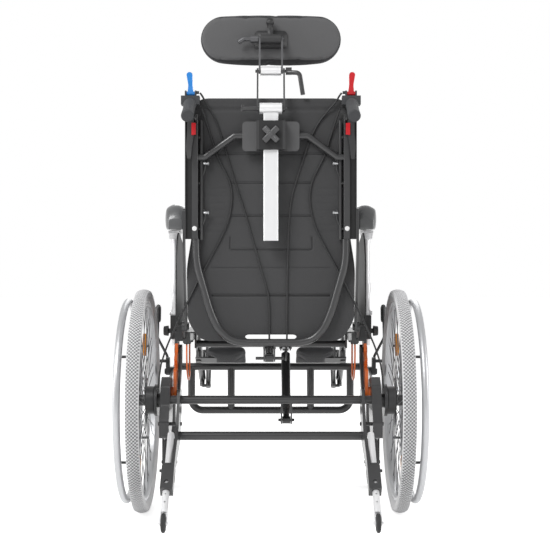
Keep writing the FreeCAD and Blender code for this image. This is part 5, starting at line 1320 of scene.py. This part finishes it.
@dataclass
class BackTrim:
    """Strips, screws, hooks and caps of the back posts."""

    strip_x: tuple[float, float] = (178.5, 185.5)
    strip_y: tuple[float, float] = (-108, -96)
    strip_z: tuple[float, float] = (731, 1044)
    spacer_heights: tuple[float, ...] = (760, 880, 1000)
    screw_heights: tuple[float, ...] = (931, 802)
    cap_x: float = 199
    cap_z: float = 760
    post_rear: float = -125

    def strips(self) -> None:
        """The inner strips, held to the posts by short spacers."""
        piece = Piece("post_strips")
        piece.block(at(self.strip_x[0], self.strip_y[0], self.strip_z[0]),
                    at(self.strip_x[1], self.strip_y[1], self.strip_z[1]), 1.2)
        for z in self.spacer_heights:
            piece.rod(at(184, -102, z), at(191, -102, z), 4)
        piece.mirrored()
        piece.place(BLACK_PAINT, "backrest", "frame")

    def hooks(self) -> None:
        """Curved hooks that hold the cover, under the screws."""
        piece = Piece("cover_hooks")
        for z in self.screw_heights:
            points = [at(176, -109, z + 8), at(171.5, -110, z), at(173, -109, z - 18), at(178, -108, z - 30)]
            for start, end in zip(points, points[1:]):
                piece.rod(start, end, 1.8, sides=12)
                piece.ball(end, 1.8, sides=12)
        piece.mirrored()
        piece.place(BLACK_PAINT, "backrest", "frame")

    def screws(self) -> None:
        """Bright screws that run inwards from the strips."""
        piece = Piece("cover_screws")
        for z in self.screw_heights:
            piece.rod(at(176, -109, z), at(163, -109, z), 3.2, round_by=0.6)
            piece.rod(at(166.5, -109, z), at(162, -109, z), 5.0, sides=6, round_by=0.6)
        piece.mirrored()
        piece.place(STEEL, "backrest", "stem")

    def caps(self) -> None:
        """Round white caps low on the posts."""
        piece = Piece("post_caps")
        for radius, out in ((6.3, 0.8), (5.2, 2.0)):
            piece.rod(at(self.cap_x, self.post_rear + 2, self.cap_z),
                      at(self.cap_x, self.post_rear - out, self.cap_z), radius, round_by=0.6, sides=32)
        piece.mirrored()
        piece.place(WHITE_CAP, "backrest", "stem")

    def build(self) -> None:
        """Builds the trim."""
        self.strips()
        self.hooks()
        self.screws()
        self.caps()


@dataclass
class StarKnob:
    """The four-armed knob on the headrest clamp, with ribs on its arms."""

    centre_z: float = 1001
    face_y: float = -175
    foot_y: float = -157
    reach: float = 25
    half_width: float = 7.4
    half_depth: float = 5.5
    ribs: int = 4
    rib_pitch: float = 4
    first_rib: float = 9

    def build(self) -> None:
        """Builds the knob in place of its CAD node."""
        piece = Piece("star_knob_body")
        middle_y = (self.face_y + self.foot_y) / 2
        centre = at(0, middle_y, self.centre_z)
        for degrees in (45, 135):
            turn = Matrix.Rotation(math.radians(degrees), 4, "Y")
            size = Vector((self.reach, self.half_depth, self.half_width)) * MM
            piece.block(centre - size, centre + size, 2.6, turn, 3)
            along = Vector((math.cos(math.radians(degrees)), 0, -math.sin(math.radians(degrees))))
            across = Vector((along.z, 0, -along.x))
            for end in (-1, 1):
                for step in range(self.ribs):
                    out = along * end * (self.first_rib + step * self.rib_pitch) * MM
                    spot = centre + out - Vector((0, self.half_depth + 0.1, 0)) * MM
                    piece.rod(spot - across * 3.4 * MM, spot + across * 3.4 * MM, 0.8, sides=8, round_by=0)
        piece.rod(at(0, self.foot_y + 2, self.centre_z), at(0, self.face_y + 2, self.centre_z), 8, 7)
        piece.rod(at(0, self.face_y + 4, self.centre_z), at(0, self.face_y, self.centre_z), 5)
        made = piece.place(KNOB_PLASTIC, "star_knob", "knob")
        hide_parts("star_knob")


def node_finishes() -> None:
    """Gives every CAD node that stays in view its finish."""
    for name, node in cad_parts.items():
        family = name
        for tail in ("_left", "_right"):
            family = family.removesuffix(tail)
        finish = NODE_FINISHES.get(family)
        if finish:
            for place in node.material_slots:
                place.material = finish.material()
            log.info("%s: %s", name, finish.name)


def main() -> None:
    """Builds the scene in order."""
    logging.basicConfig(level=logging.INFO, format="%(message)s")
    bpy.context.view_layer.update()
    Studio().build()
    Cables().build()
    node_finishes()
    for word, sign in (("left", -1), ("right", 1)):
        RearWheel(word, sign).build()
    BackCover().build()
    BackTrim().build()
    StarKnob().build()
    Pads().build()


if __name__ == "__main__":
    main()
